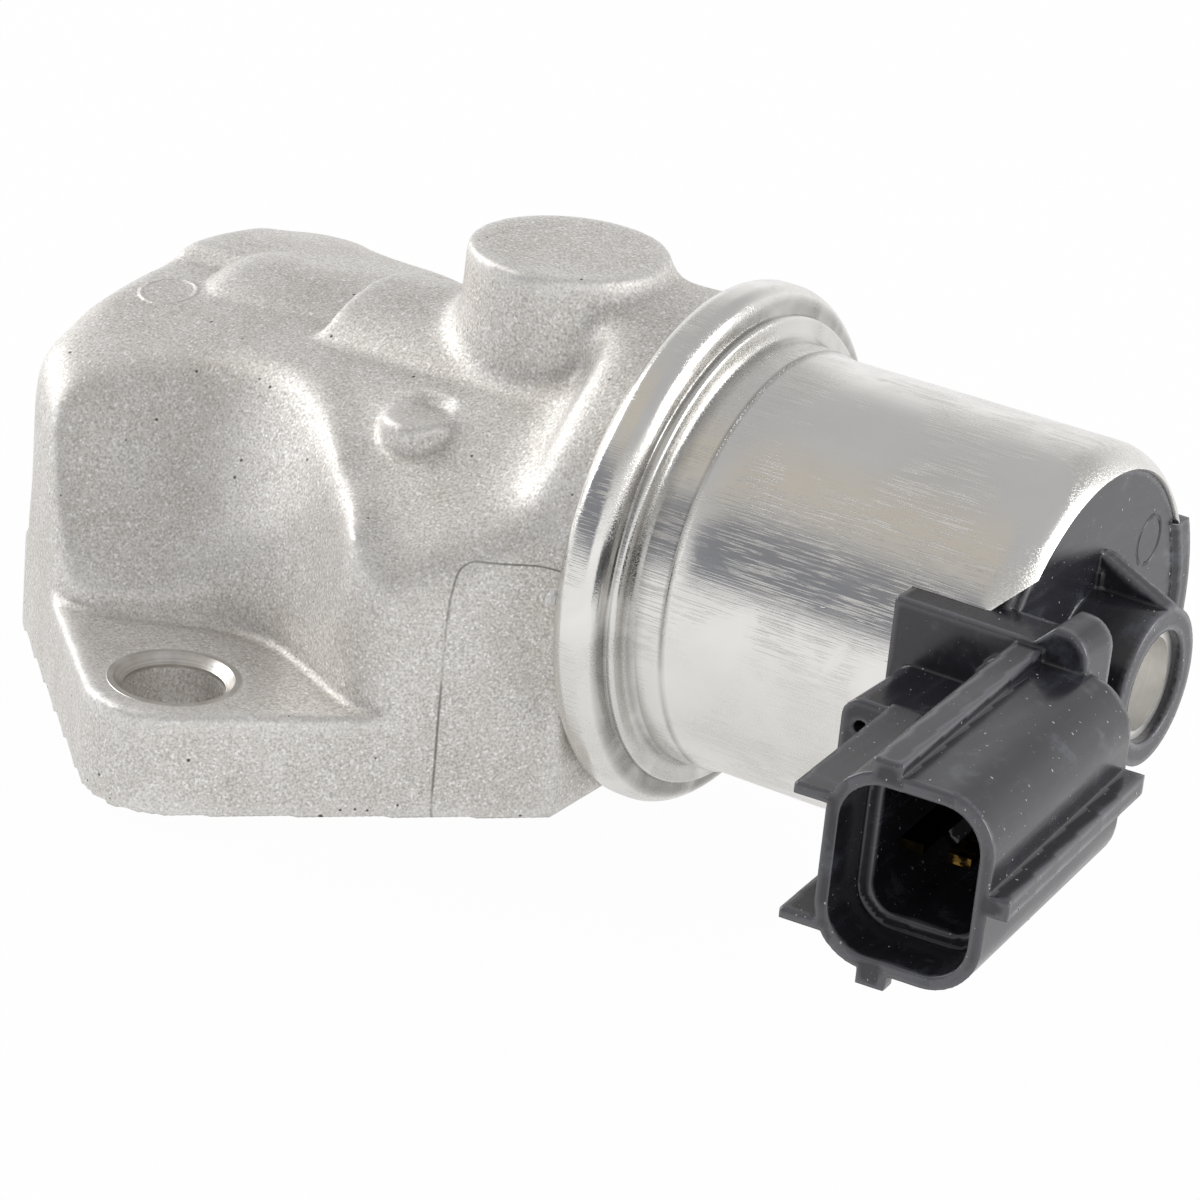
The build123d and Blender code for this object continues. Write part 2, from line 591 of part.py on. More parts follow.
def return_spring():
    """The compression spring between the valve disc and the washer on the front plate."""
    start = VALVE_DISC_BACK_X + SPRING_WIRE / 2 + 2 * FIT
    length = SPRING_WASHER_X - SPRING_WIRE / 2 - 2 * FIT - start
    chords = SPRING_CHORDS * round(length / SPRING_PITCH)
    points = []
    for i in range(chords + 1):
        turn = 2 * pi * i / SPRING_CHORDS
        points.append((SPRING_RADIUS * cos(turn), SPRING_RADIUS * sin(turn), length * i / chords))
    coil = Polyline(*points)
    section = Plane(origin=coil @ 0, z_dir=coil % 0) * RegularPolygon(SPRING_WIRE / 2, SPRING_WIRE_SIDES)
    wire = sweep(section, path=coil, transition=Transition.RIGHT)
    return Pos(start, 0, AXIS_HEIGHT) * Rot(0, 90, 0) * wire


def socket_frame():
    """The plug socket's own frame: x across, y up, z out of its mouth, with the origin in the mouth."""
    out = Vector(0, -1, 0).rotate(Axis.Z, SOCKET_SPLAY)
    across = Vector(1, 0, 0).rotate(Axis.Z, SOCKET_SPLAY)
    return Plane(origin=(SOCKET_X, SOCKET_MOUTH_Y, SOCKET_Z), x_dir=across, z_dir=out)


def in_socket(low, high):
    """A block in the socket's frame, given by its corners (across, up, depth behind the mouth)."""
    block = box_between((low[0], low[1], -high[2]), (high[0], high[1], -low[2]))
    return socket_frame() * block


def socket_shell():
    """The socket's outer tube with its key rib, side rib, guide fins and latch nub."""
    half_width = SOCKET_WIDTH / 2
    half_height = SOCKET_HEIGHT / 2
    outline = RectangleRounded(SOCKET_WIDTH, SOCKET_HEIGHT, SOCKET_CORNER_RADIUS)
    shell = socket_frame() * extrude(outline, -SOCKET_LENGTH)
    key = KEY_RIB_OFFSET - KEY_RIB_WIDTH / 2
    shell += in_socket((key, 0, 0), (key + KEY_RIB_WIDTH, half_height + KEY_RIB_HEIGHT, SOCKET_LENGTH))
    side = SIDE_RIB_OFFSET - SIDE_RIB_WIDTH / 2
    shell += in_socket((0, side, 0), (half_width + SIDE_RIB_HEIGHT, side + SIDE_RIB_WIDTH, SOCKET_LENGTH))
    fin_depth = LATCH_PAD_FRONT_Y - SOCKET_MOUTH_Y
    for middle, depth in ((UPPER_FIN_OFFSET, fin_depth), (LOWER_FIN_OFFSET, LOWER_FIN_LENGTH)):
        low = (-half_width - FIN_WIDTH, middle - FIN_THICK / 2, 0)
        shell += in_socket(low, (0, middle + FIN_THICK / 2, depth))
    nub = NUB_OFFSET - NUB_WIDTH / 2
    return shell + in_socket((nub, -half_height - NUB_HEIGHT, 0), (nub + NUB_WIDTH, 0, NUB_LENGTH))


def socket_cavity():
    """The room for the mating plug: a wide mouth and a narrower land behind it."""
    wide = RectangleRounded(
        SOCKET_WIDTH - 2 * SOCKET_WALL, SOCKET_HEIGHT - 2 * SOCKET_WALL, SOCKET_CORNER_RADIUS - SOCKET_WALL
    )
    step = SOCKET_WALL + SOCKET_LAND
    narrow = RectangleRounded(SOCKET_WIDTH - 2 * step, SOCKET_HEIGHT - 2 * step, SOCKET_CORNER_RADIUS - step)
    return socket_frame() * (extrude(wide, -SOCKET_LAND_DEPTH) + extrude(narrow, -SOCKET_DEPTH))


def terminal(side, room=0.0):
    """One blade terminal, or the slot for it where room is given."""
    middle = side * TERMINAL_PITCH / 2
    half_width = TERMINAL_WIDTH / 2 + room
    half_thick = TERMINAL_THICK / 2 + room
    low = (middle - half_width, -half_thick, TERMINAL_SETBACK)
    return in_socket(low, (middle + half_width, half_thick, TERMINAL_SETBACK + TERMINAL_LENGTH + room))


def socket_neck():
    """The neck that fills the can's notch and stands out beside the end cap, with a raised shoulder."""
    left = CAN_END_X - PLUG_NOTCH_LENGTH + FIT
    top = AXIS_HEIGHT + PLUG_NOTCH_HALF_HEIGHT - FIT
    bottom = AXIS_HEIGHT - PLUG_NOTCH_HALF_HEIGHT + FIT
    raised = top + NECK_SHOULDER_RISE
    outline = make_face(Polyline(
        (left, bottom), (left, top), (NECK_SHOULDER_X, top), (NECK_SHOULDER_X + NECK_SHOULDER_RISE, raised),
        (NECK_SIDE_RIGHT_X, raised), (NECK_SIDE_RIGHT_X, bottom), close=True
    ))
    corners = [v for v in outline.vertices() if abs(v.X - NECK_SIDE_RIGHT_X) < FIT]
    outline = fillet(corners, NECK_CORNER_RADIUS)
    depth = NECK_BACK_Y - NECK_FRONT_Y
    plate = Pos(0, NECK_BACK_Y, 0) * extrude(Plane.XZ * outline, depth)
    bridge = box_between((END_DISC_X, NECK_FRONT_Y, bottom), (END_FACE_X, 0, top))
    return plate + bridge - tube(left, END_DISC_X, CAN_INNER_RADIUS + FIT)


def latch_pad():
    """The pad beside the socket's root that the mating plug's latch bears on."""
    low_z = AXIS_HEIGHT - LATCH_PAD_HALF_HEIGHT
    high_z = AXIS_HEIGHT + LATCH_PAD_HALF_HEIGHT
    pad = box_between((LATCH_PAD_LEFT_X, LATCH_PAD_FRONT_Y, low_z), (SOCKET_X, NECK_FRONT_Y, high_z))
    edges = [e for e in pad.edges().filter_by(Axis.Y) if abs(e.center().X - LATCH_PAD_LEFT_X) < FIT]
    pad = fillet(edges, LATCH_PAD_CORNER)
    hole_z = high_z - LATCH_PAD_CORNER - LATCH_HOLE_RADIUS
    hole_at = Pos(LATCH_PAD_LEFT_X + LATCH_PAD_CORNER, LATCH_PAD_FRONT_Y, hole_z)
    return pad - hole_at * Rot(90, 0, 0) * Cylinder(LATCH_HOLE_RADIUS, 2 * LATCH_HOLE_DEPTH)


def end_gusset():
    """The thin web on top of the end boss, from the cap's face to the boss's rim."""
    outline = Polyline(
        (END_DISC_X, AXIS_HEIGHT), (END_DISC_X, AXIS_HEIGHT + GUSSET_TOP),
        (END_FACE_X, AXIS_HEIGHT + GUSSET_TOP),
        (END_BOSS_X, AXIS_HEIGHT + END_BOSS_RADIUS), (END_BOSS_X, AXIS_HEIGHT), close=True
    )
    return Pos(0, GUSSET_Y + GUSSET_THICK / 2, 0) * extrude(Plane.XZ * make_face(outline), GUSSET_THICK)


def connector_moulding():
    """The one-piece plastic end cap: closing disc, core boss, neck and plug socket."""
    cap = tube(END_DISC_X, RIM_INNER_X, CAN_INNER_RADIUS - FIT)
    cap += tube(RIM_INNER_X, END_FACE_X, RIM_OPENING_RADIUS - FIT)
    key_half = KEY_NOTCH_HALF_HEIGHT - FIT
    key_low = (END_DISC_X, 0, AXIS_HEIGHT - key_half)
    key = box_between(key_low, (CAN_END_X, CAN_RADIUS, AXIS_HEIGHT + key_half))
    cap += key & tube(CAN_END_X - KEY_NOTCH_LENGTH + FIT, CAN_END_X, CAN_RADIUS - FIT)
    cap += tube(END_DISC_X, END_BOSS_X, END_BOSS_RADIUS)
    cap += end_gusset() + socket_neck() + latch_pad() + socket_shell()
    cap -= tube(END_DISC_X, END_BOSS_X, CORE_RADIUS + FIT)
    cap -= socket_cavity()
    for side in (-1, 1):
        cap -= terminal(side, FIT)
    return cap


PIECES = {
    "valve_body": valve_body,
    "solenoid_can": solenoid_can,
    "connector_moulding": connector_moulding,
    "joint_seal": joint_seal,
    "front_flux_plate": front_flux_plate,
    "rear_flux_plate": rear_flux_plate,
    "coil_bobbin": coil_bobbin,
    "coil_winding": coil_winding,
    "guide_tube": guide_tube,
    "pole_core": pole_core,
    "core_plug": core_plug,
    "front_guide_bush": front_guide_bush,
    "rear_guide_bush": rear_guide_bush,
    "shaft_wiper": shaft_wiper,
    "spring_washer": spring_washer,
    "valve_seat": valve_seat,
    "armature": armature,
    "valve_shaft": valve_shaft,
    "valve_disc": valve_disc,
    "disc_seal": disc_seal,
    "disc_nut": disc_nut,
    "return_spring": return_spring,
    "terminal_left": lambda: terminal(-1),
    "terminal_right": lambda: terminal(1),
}

os.makedirs("parts", exist_ok=True)
for name, make in PIECES.items():
    export_step(make(), os.path.join("parts", name + ".step"))
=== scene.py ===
"""Idle air control valve: a die-cast air valve body, a crimped-on solenoid can and a black plug socket.

Lengths are in metres, in the frame of the solids. The mounting face is z = 0, and the solenoid's axis runs
along +X. Sizes of the part without MM are in millimetres, and those of the studio are in metres.
"""
import math

import bmesh
import bpy
import numpy as np
from mathutils import Matrix, Vector, noise


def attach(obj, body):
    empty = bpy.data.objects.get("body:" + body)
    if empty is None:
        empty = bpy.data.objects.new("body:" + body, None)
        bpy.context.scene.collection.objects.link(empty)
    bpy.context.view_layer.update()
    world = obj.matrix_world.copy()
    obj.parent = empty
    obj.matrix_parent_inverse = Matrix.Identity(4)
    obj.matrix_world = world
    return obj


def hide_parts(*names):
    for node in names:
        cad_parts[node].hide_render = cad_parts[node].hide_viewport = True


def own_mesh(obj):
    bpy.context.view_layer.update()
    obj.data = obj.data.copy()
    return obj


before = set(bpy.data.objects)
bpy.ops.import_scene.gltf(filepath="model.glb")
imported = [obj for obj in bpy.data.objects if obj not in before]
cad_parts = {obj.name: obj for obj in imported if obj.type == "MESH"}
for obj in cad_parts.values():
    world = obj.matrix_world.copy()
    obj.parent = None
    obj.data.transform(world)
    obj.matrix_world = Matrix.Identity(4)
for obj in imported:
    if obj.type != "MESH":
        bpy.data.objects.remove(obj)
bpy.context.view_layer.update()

# Casting
# The air valve's body is die-cast aluminium, trimmed and then shot-blasted all over. The die leaves drafted
# bolt pockets, a parting seam and pin marks, and the blasting rounds every edge and gives a sparkling grain.
MM = 0.001
AXIS_HEIGHT = 21.0
AXIS_Z = AXIS_HEIGHT * MM
BOLT_Y = 36.0 * MM
BOSS_X = 14.0 * MM
PIN_END = (9.9 * MM, -16.0 * MM)
CASTING_VOXEL = 0.505 * MM
CASTING_SMOOTHING = 1
CASTING_WAVE = 0.03 * MM
CASTING_WAVE_SIZE = 6.0 * MM
WAVE_FROM_Z = (0.0, 2 * MM)
WAVE_TO_Z = (44 * MM, 42 * MM)
CROWN_ROUNDS = 60
CROWN_X = (26 * MM, 22 * MM)
CROWN_Y = (10 * MM, 13 * MM)
CROWN_Z = (11 * MM, 15 * MM)
CROWN_FROM_AXIS = (15.5 * MM, 18.0 * MM)
CROWN_FROM_PIN = (3.6 * MM, 5.0 * MM)
NECK_ROUNDS = 40
NECK_FROM_X = (18 * MM, 21 * MM)
NECK_TO_X = (29.4 * MM, 28.6 * MM)
NECK_Z = (5 * MM, 8 * MM)
NECK_FROM_BOSS = (10.5 * MM, 12.5 * MM)
EDGE_ROUNDS = 12
EDGE_REACH = 0.25 * MM
POCKET_LOW = (-3.0, 49.0, 11.5)
POCKET_LOW_R = 22.0
POCKET_HIGH = (-10.0, 29.4, 36.0)
POCKET_HIGH_R = 17.4
POCKET_SIDES = 96
WEB_OUTLINE = [(23.0, 4.0), (29.6, 4.0), (29.6, 17.0), (26.0, 20.0), (23.0, 20.0)]
WEB_FRONT_Y = -19.6
WEB_BACK_Y = -8.0


def settle(piece):
    """Turns a piece and its modifiers into one plain mesh."""
    graph = bpy.context.evaluated_depsgraph_get()
    mesh = bpy.data.meshes.new_from_object(piece.evaluated_get(graph))
    piece.modifiers.clear()
    piece.data = mesh
    return mesh


def as_piece(name, shape):
    """A new piece from a shape that is then freed."""
    mesh = bpy.data.meshes.new(name)
    shape.to_mesh(mesh)
    shape.free()
    piece = bpy.data.objects.new(name, mesh)
    bpy.context.scene.collection.objects.link(piece)
    return piece


def merged_copy(node, name):
    """A copy of a solid's mesh as a new piece, with its loose triangles joined."""
    shape = bmesh.new()
    shape.from_mesh(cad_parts[node].data)
    bmesh.ops.remove_doubles(shape, verts=shape.verts, dist=2e-6)
    for face in shape.faces:
        face.material_index = 0
    return as_piece(name, shape)


def block_through(name, outline, low_y, high_y):
    """A block with an outline of (x, z) points in millimetres, between two values of y."""
    shape = bmesh.new()
    near = [shape.verts.new((x * MM, low_y * MM, z * MM)) for x, z in outline]
    far = [shape.verts.new((x * MM, high_y * MM, z * MM)) for x, z in outline]
    shape.faces.new(near)
    shape.faces.new(far)
    for i in range(len(outline)):
        k = (i + 1) % len(outline)
        shape.faces.new((near[i], near[k], far[k], far[i]))
    bmesh.ops.recalc_face_normals(shape, faces=shape.faces)
    return as_piece(name, shape)


def upright_plug(name, low, low_radius, high, high_radius):
    """A round plug with level ends, each given by its middle and radius in millimetres. It may lean."""
    shape = bmesh.new()
    rings = []
    for (x, y, z), radius in ((low, low_radius), (high, high_radius)):
        turns = [2 * math.pi * i / POCKET_SIDES for i in range(POCKET_SIDES)]
        rings.append([
            shape.verts.new(Vector((x + radius * math.cos(a), y + radius * math.sin(a), z)) * MM)
            for a in turns])
        shape.faces.new(rings[-1])
    for i in range(POCKET_SIDES):
        k = (i + 1) % POCKET_SIDES
        shape.faces.new((rings[0][i], rings[0][k], rings[1][k], rings[1][i]))
    bmesh.ops.recalc_face_normals(shape, faces=shape.faces)
    return as_piece(name, shape)


def cut_out(piece, blocks):
    """Takes blocks away from a piece and deletes them."""
    for block in blocks:
        take = piece.modifiers.new("take", "BOOLEAN")
        take.operation = "DIFFERENCE"
        take.solver = "EXACT"
        take.object = block
    settle(piece)
    for block in blocks:
        bpy.data.objects.remove(block)


def even_skin(piece, voxel, smoothing):
    """Gives a piece small even faces and soft edges."""
    skin = piece.modifiers.new("skin", "REMESH")
    skin.mode = "VOXEL"
    skin.voxel_size = voxel
    skin.use_smooth_shade = True
    soft = piece.modifiers.new("soft", "SMOOTH")
    soft.factor = 0.5
    soft.iterations = smoothing
    return settle(piece)


def read_points(mesh):
    """The places and normals of a mesh's points, as two arrays."""
    places = np.empty(len(mesh.vertices) * 3)
    mesh.vertices.foreach_get("co", places)
    normals = np.empty(len(mesh.vertices) * 3)
    mesh.vertex_normals.foreach_get("vector", normals)
    return places.reshape(-1, 3), normals.reshape(-1, 3)


def relaxed(mesh, places, rounds, share):
    """Places after some rounds of moving each point a share of the way to the middle of its neighbours."""
    ends = np.empty(len(mesh.edges) * 2, dtype=np.int64)
    mesh.edges.foreach_get("vertices", ends)
    first, second = ends.reshape(-1, 2).T
    degree = np.maximum(np.bincount(ends, minlength=len(places)), 1).astype(float)
    for _ in range(rounds):
        total = np.empty_like(places)
        for axis in range(3):
            total[:, axis] = np.bincount(first, places[second, axis], len(places))
            total[:, axis] += np.bincount(second, places[first, axis], len(places))
        places = places + (total / degree[:, None] - places) * share
    return places


def mark_edges(mesh, rounds, reach):
    """Stores how far each point stands out of its surroundings, from -1 in a corner to 1 on an edge."""
    places, normals = read_points(mesh)
    mean = relaxed(mesh, places, rounds, 1.0)
    height = np.einsum("ij,ij->i", places - mean, normals)
    layer = mesh.attributes.new("edge", "FLOAT", "POINT")
    layer.data.foreach_set("value", np.clip(height / reach, -1.0, 1.0))


def fade(values, start, end):
    """A smooth step from 0 at start to 1 at end."""
    share = np.clip((values - start) / (end - start), 0.0, 1.0)
    return share * share * (3.0 - 2.0 * share)


def take_in(piece, block):
    """Adds a block's faces to a piece and deletes the block. An even skin then joins the two."""
    shape = bmesh.new()
    shape.from_mesh(piece.data)
    shape.from_mesh(block.data)
    shape.to_mesh(piece.data)
    shape.free()
    bpy.data.objects.remove(block)


casting = merged_copy("valve_body", "casting")
cut_out(casting, [
    upright_plug("pocket", (POCKET_LOW[0], side * POCKET_LOW[1], POCKET_LOW[2]), POCKET_LOW_R,
                 (POCKET_HIGH[0], side * POCKET_HIGH[1], POCKET_HIGH[2]), POCKET_HIGH_R)
    for side in (-1, 1)])
take_in(casting, block_through("web", WEB_OUTLINE, WEB_FRONT_Y, WEB_BACK_Y))
casting_mesh = even_skin(casting, CASTING_VOXEL, CASTING_SMOOTHING)
places, normals = read_points(casting_mesh)
from_axis = np.hypot(places[:, 1], places[:, 2] - AXIS_Z)
from_pin = np.hypot(places[:, 0] - PIN_END[0], places[:, 1] - PIN_END[1])
crown_share = fade(places[:, 2], *CROWN_Z) * fade(places[:, 0], *CROWN_X)
crown_share *= fade(from_axis, *CROWN_FROM_AXIS) * fade(from_pin, *CROWN_FROM_PIN)
crown_share *= fade(np.abs(places[:, 1]), *CROWN_Y)
places = relaxed(casting_mesh, places, CROWN_ROUNDS, 0.5 * crown_share[:, None])
from_boss = np.hypot(places[:, 0] - BOSS_X, places[:, 1])
neck_share = fade(places[:, 0], *NECK_FROM_X) * fade(places[:, 0], *NECK_TO_X)
neck_share *= fade(places[:, 2], *NECK_Z) * fade(from_boss, *NECK_FROM_BOSS)
places = relaxed(casting_mesh, places, NECK_ROUNDS, 0.5 * neck_share[:, None])
wave = np.array([noise.noise(Vector(p / CASTING_WAVE_SIZE)) for p in places])
wave *= fade(places[:, 2], *WAVE_FROM_Z) * fade(places[:, 2], *WAVE_TO_Z)
places += normals * (wave * CASTING_WAVE)[:, None]
casting_mesh.vertices.foreach_set("co", places.ravel())
casting_mesh.update()
mark_edges(casting_mesh, EDGE_ROUNDS, EDGE_REACH)


def ink(code):
    """A linear colour from an sRGB hex code."""
    parts = [int(code[i:i + 2], 16) / 255 for i in (1, 3, 5)]
    return tuple(c / 12.92 if c <= 0.04045 else ((c + 0.055) / 1.055) ** 2.4 for c in parts) + (1.0,)


def join(tree, node, inputs):
    """Fills a node's inputs, each from a value, a socket or the first output in use of another node."""
    for key, value in inputs.items():
        if isinstance(value, bpy.types.Node):
            value = next(socket for socket in value.outputs if socket.enabled)
        if isinstance(value, bpy.types.NodeSocket):
            tree.links.new(value, node.inputs[key])
        else:
            node.inputs[key].default_value = value


def put(tree, kind, inputs=None, **settings):
    """Adds a node with its settings and inputs."""
    node = tree.nodes.new(kind)
    for key, value in settings.items():
        setattr(node, key, value)
    join(tree, node, inputs or {})
    return node


def mix(tree, share, low, high):
    """Mixes two colours by a share."""
    return put(tree, "ShaderNodeMix", {0: share, 6: low, 7: high}, data_type="RGBA")


def maths(tree, operation, *values):
    """A sum of one to three values."""
    return put(tree, "ShaderNodeMath", dict(enumerate(values)), operation=operation)


def new_material(name):
    """An empty material with its tree, its shader and its object coordinates."""
    material = bpy.data.materials.new(name)
    material.use_nodes = True
    tree = material.node_tree
    shader = tree.nodes["Principled BSDF"]
    where = put(tree, "ShaderNodeTexCoord").outputs["Object"]
    return material, tree, shader, where


def ring_line(tree, where, centre, plane, radius, fine, faint):
    """How strongly a point is on a ring's line. The plane has ones on the two axes that the ring lies in."""
    moved = put(tree, "ShaderNodeMapping", {"Vector": where, "Location": tuple(-c for c in centre)})
    flat = put(tree, "ShaderNodeVectorMath", {0: moved, 1: plane}, operation="MULTIPLY")
    out = put(tree, "ShaderNodeVectorMath", {0: flat}, operation="LENGTH")
    off = maths(tree, "SUBTRACT", out, radius)
    off = maths(tree, "ABSOLUTE", off)
    return put(tree, "ShaderNodeMapRange", {
        "Value": off, "From Min": fine, "From Max": faint, "To Min": 1.0, "To Max": 0.0})


# Die-cast aluminium, shot-blasted: a pale warm grey with tiny bright facets and sparse dark pits. Its edges
# are paler, partly from wear and partly as a painted highlight, and its corners carry painted shade. The
# seam of the die shows as a fine dark line.
casting_finish, tree, shader, where = new_material("shot_blasted_die_cast_aluminium")
GRAIN = 1 / (0.24 * MM)
FACET = 1 / (0.2 * MM)
PIT_CELL = 1 / (1.5 * MM)
EDGE_PIT_CELL = 1 / (0.9 * MM)
MOTTLE = 1 / (8.0 * MM)
SEAM_X = 21.7 * MM
SEAM_Z = 24.0 * MM
SEAM_CORNER = 1.2 * MM
SEAM_FRONT_Y = -19.0 * MM
PIN_RING = (-24.0 * MM, -8.0 * MM, 0.0)
PIN_RING_R = 2.6 * MM
ROOF_Z = 27.0 * MM
grain = put(tree, "ShaderNodeTexNoise", {"Vector": where, "Scale": GRAIN, "Detail": 2.0, "Roughness": 0.6})
mottle = put(tree, "ShaderNodeTexNoise", {"Vector": where, "Scale": MOTTLE, "Detail": 4.0, "Roughness": 0.6})
edge = put(tree, "ShaderNodeAttribute", attribute_name="edge")
tone = put(tree, "ShaderNodeValToRGB", {"Fac": grain})
tone.color_ramp.elements[0].position = 0.3
tone.color_ramp.elements[0].color = ink("#BFBBB6")
tone.color_ramp.elements[1].position = 0.72
tone.color_ramp.elements[1].color = ink("#F4F2F0")
middle = tone.color_ramp.elements.new(0.5)
middle.color = ink("#DEDBD7")
stain = put(tree, "ShaderNodeMapRange", {"Value": mottle, "From Min": 0.4, "From Max": 0.7, "To Max": 0.3})
mottled = put(tree, "ShaderNodeMix", {
    0: stain, 6: tone, 7: ink("#C9C3BA")}, data_type="RGBA", blend_type="MULTIPLY")
facets = put(tree, "ShaderNodeTexVoronoi", {"Vector": where, "Scale": FACET})
facet_pick = put(tree, "ShaderNodeSeparateColor", {"Color": facets.outputs["Color"]})
sparkle = put(tree, "ShaderNodeMapRange", {
    "Value": facet_pick.outputs["Red"], "From Min": 0.9, "From Max": 0.97, "To Max": 0.7})
sparkled = mix(tree, sparkle, mottled, ink("#FFFFFF"))
# Paler edges: partly wear, partly a painted highlight along every edge that stands out
paler_share = put(tree, "ShaderNodeMapRange", {
    "Value": edge.outputs["Fac"], "From Min": 0.1, "From Max": 1.0, "To Max": 0.3})
bright = mix(tree, paler_share, sparkled, ink("#F6F5F3"))
# Painted shade: the hollow corners are darkened towards a deeper grey
corner_shade = put(tree, "ShaderNodeMapRange", {
    "Value": edge.outputs["Fac"], "From Min": -0.15, "From Max": -1.0, "To Max": 0.22})
corner_shaded = mix(tree, corner_shade, bright, ink("#A09A91"))

# Pits: sparse all over, and larger and closer along the trimmed lower edge
at = put(tree, "ShaderNodeSeparateXYZ", {"Vector": where})
pits = put(tree, "ShaderNodeTexVoronoi", {"Vector": where, "Scale": PIT_CELL})
pit_pick = put(tree, "ShaderNodeSeparateColor", {"Color": pits.outputs["Color"]})
pit_size = put(tree, "ShaderNodeMapRange", {
    "Value": pit_pick.outputs["Red"], "From Min": 0.72, "From Max": 1.0, "To Max": 0.11})
pit = maths(tree, "LESS_THAN", pits, pit_size)
edge_pits = put(tree, "ShaderNodeTexVoronoi", {"Vector": where, "Scale": EDGE_PIT_CELL})
edge_pick = put(tree, "ShaderNodeSeparateColor", {"Color": edge_pits.outputs["Color"]})
edge_size = put(tree, "ShaderNodeMapRange", {
    "Value": edge_pick.outputs["Green"], "From Min": 0.7, "From Max": 1.0, "To Max": 0.3})
low_down = put(tree, "ShaderNodeMapRange", {
    "Value": at.outputs["Z"], "From Min": 0.6 * MM, "From Max": 1.8 * MM, "To Min": 1.0, "To Max": 0.0})
edge_size = maths(tree, "MULTIPLY", edge_size, low_down)
edge_pit = maths(tree, "LESS_THAN", edge_pits, edge_size)
pitted = maths(tree, "MAXIMUM", pit, edge_pit)

# Parting seam of the die: up the front face, round a corner and along to the bead
seam_x = maths(tree, "SUBTRACT", SEAM_X + SEAM_CORNER, at.outputs["X"])
seam_z = maths(tree, "SUBTRACT", at.outputs["Z"], SEAM_Z - SEAM_CORNER)
outer_x = maths(tree, "MAXIMUM", seam_x, 0.0)
outer_z = maths(tree, "MAXIMUM", seam_z, 0.0)
outer = put(tree, "ShaderNodeCombineXYZ", {"X": outer_x, "Y": outer_z})
outer_length = put(tree, "ShaderNodeVectorMath", {0: outer}, operation="LENGTH")
inner = maths(tree, "MAXIMUM", seam_x, seam_z)
inner = maths(tree, "MINIMUM", inner, 0.0)
off_seam = maths(tree, "ADD", outer_length, inner)
off_seam = maths(tree, "SUBTRACT", off_seam, SEAM_CORNER)
off_seam = maths(tree, "ABSOLUTE", off_seam)
seam_line = put(tree, "ShaderNodeMapRange", {
    "Value": off_seam, "From Min": 0.03 * MM, "From Max": 0.13 * MM, "To Min": 1.0, "To Max": 0.0})
in_front = maths(tree, "LESS_THAN", at.outputs["Y"], SEAM_FRONT_Y)
seam_break = put(tree, "ShaderNodeMapRange", {
    "Value": mottle, "From Min": 0.38, "From Max": 0.55, "To Min": 0.25, "To Max": 0.75})
seam = maths(tree, "MULTIPLY", seam_line, in_front)
seam = maths(tree, "MULTIPLY", seam, seam_break)
dark = maths(tree, "MAXIMUM", pitted, seam)
marked = mix(tree, dark, corner_shaded, ink("#6B655D"))

# Ring left on the roof by an ejector pin
ring = ring_line(tree, where, PIN_RING, (1.0, 1.0, 0.0), PIN_RING_R, 0.05 * MM, 0.35 * MM)
on_roof = maths(tree, "GREATER_THAN", at.outputs["Z"], ROOF_Z)
ring = maths(tree, "MULTIPLY", ring, on_roof)
gloss = put(tree, "ShaderNodeMapRange", {
    "Value": grain, "From Min": 0.3, "From Max": 0.7, "To Min": 0.62, "To Max": 0.48})
relief = maths(tree, "MULTIPLY_ADD", dark, -2.0, grain)
bump = put(tree, "ShaderNodeBump", {"Height": relief, "Strength": 0.45, "Distance": 0.05 * MM})
raised = put(tree, "ShaderNodeBump", {
    "Height": ring, "Strength": 0.8, "Distance": 0.2 * MM, "Normal": bump})
join(tree, shader, {"Base Color": marked, "Metallic": 0.9, "Roughness": gloss, "Normal": raised})
casting_mesh.materials.append(casting_finish)
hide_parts("valve_body")
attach(casting, "valve_housing")

# Flash burr
# A little metal squeezed out of the die's seam stands beside the bead, torn and bright.
BURR_AT = Vector((29.5, -22.6, 22.2)) * MM
BURR_SIZE = Vector((0.4, 1.2, 0.8)) * MM
BURR_LUMPS = 2.2
BURR_LUMP_SHARE = 0.22
BURR_GRAIN = 1 / (0.3 * MM)
shape = bmesh.new()
bmesh.ops.create_icosphere(shape, subdivisions=4, radius=1.0)
for vert in shape.verts:
    lump = 1.0 + BURR_LUMP_SHARE * noise.fractal(vert.co * BURR_LUMPS, 0.6, 2.0, 4)
    vert.co = BURR_AT + Vector([c * s * lump for c, s in zip(vert.co, BURR_SIZE)])
burr = as_piece("flash_burr", shape)
burr.data.shade_smooth()

# Aluminium torn off at the seam: white and bright, with small facets that flash.
burr_finish, tree, shader, where = new_material("torn_bright_aluminium")
torn = put(tree, "ShaderNodeTexNoise", {"Vector": where, "Scale": BURR_GRAIN, "Detail": 3.0})
torn_tone = mix(tree, torn, ink("#FFFFFF"), ink("#E8E6E3"))
bump = put(tree, "ShaderNodeBump", {"Height": torn, "Strength": 0.5, "Distance": 0.05 * MM})
join(tree, shader, {"Base Color": torn_tone, "Metallic": 0.25, "Roughness": 0.35, "Normal": bump})
burr.data.materials.append(burr_finish)
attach(burr, "valve_housing")

# Bolt seats
# Both bolt holes are drilled and countersunk after casting, and the cutter's pilot leaves a narrow bright
# ring round the mouth. Each seat is a turned skin that lines the hole.
HOLE_R = 4.5
SEAT_Z = 9.5
SEAT_RING_R = 6.0
SEAT_CHAMFER = 0.8
SEAT_PROUD = 0.04
SEAT_LOW = 0.05
SEAT_WALL = 0.6
SEAT_EASE = 0.15
SEAT_RIM_DEPTH = 0.1
SEAT_SKIRT_DEPTH = 1.4
SEAT_SKIRT_IN = 0.2
SEAT_TURNS = 128


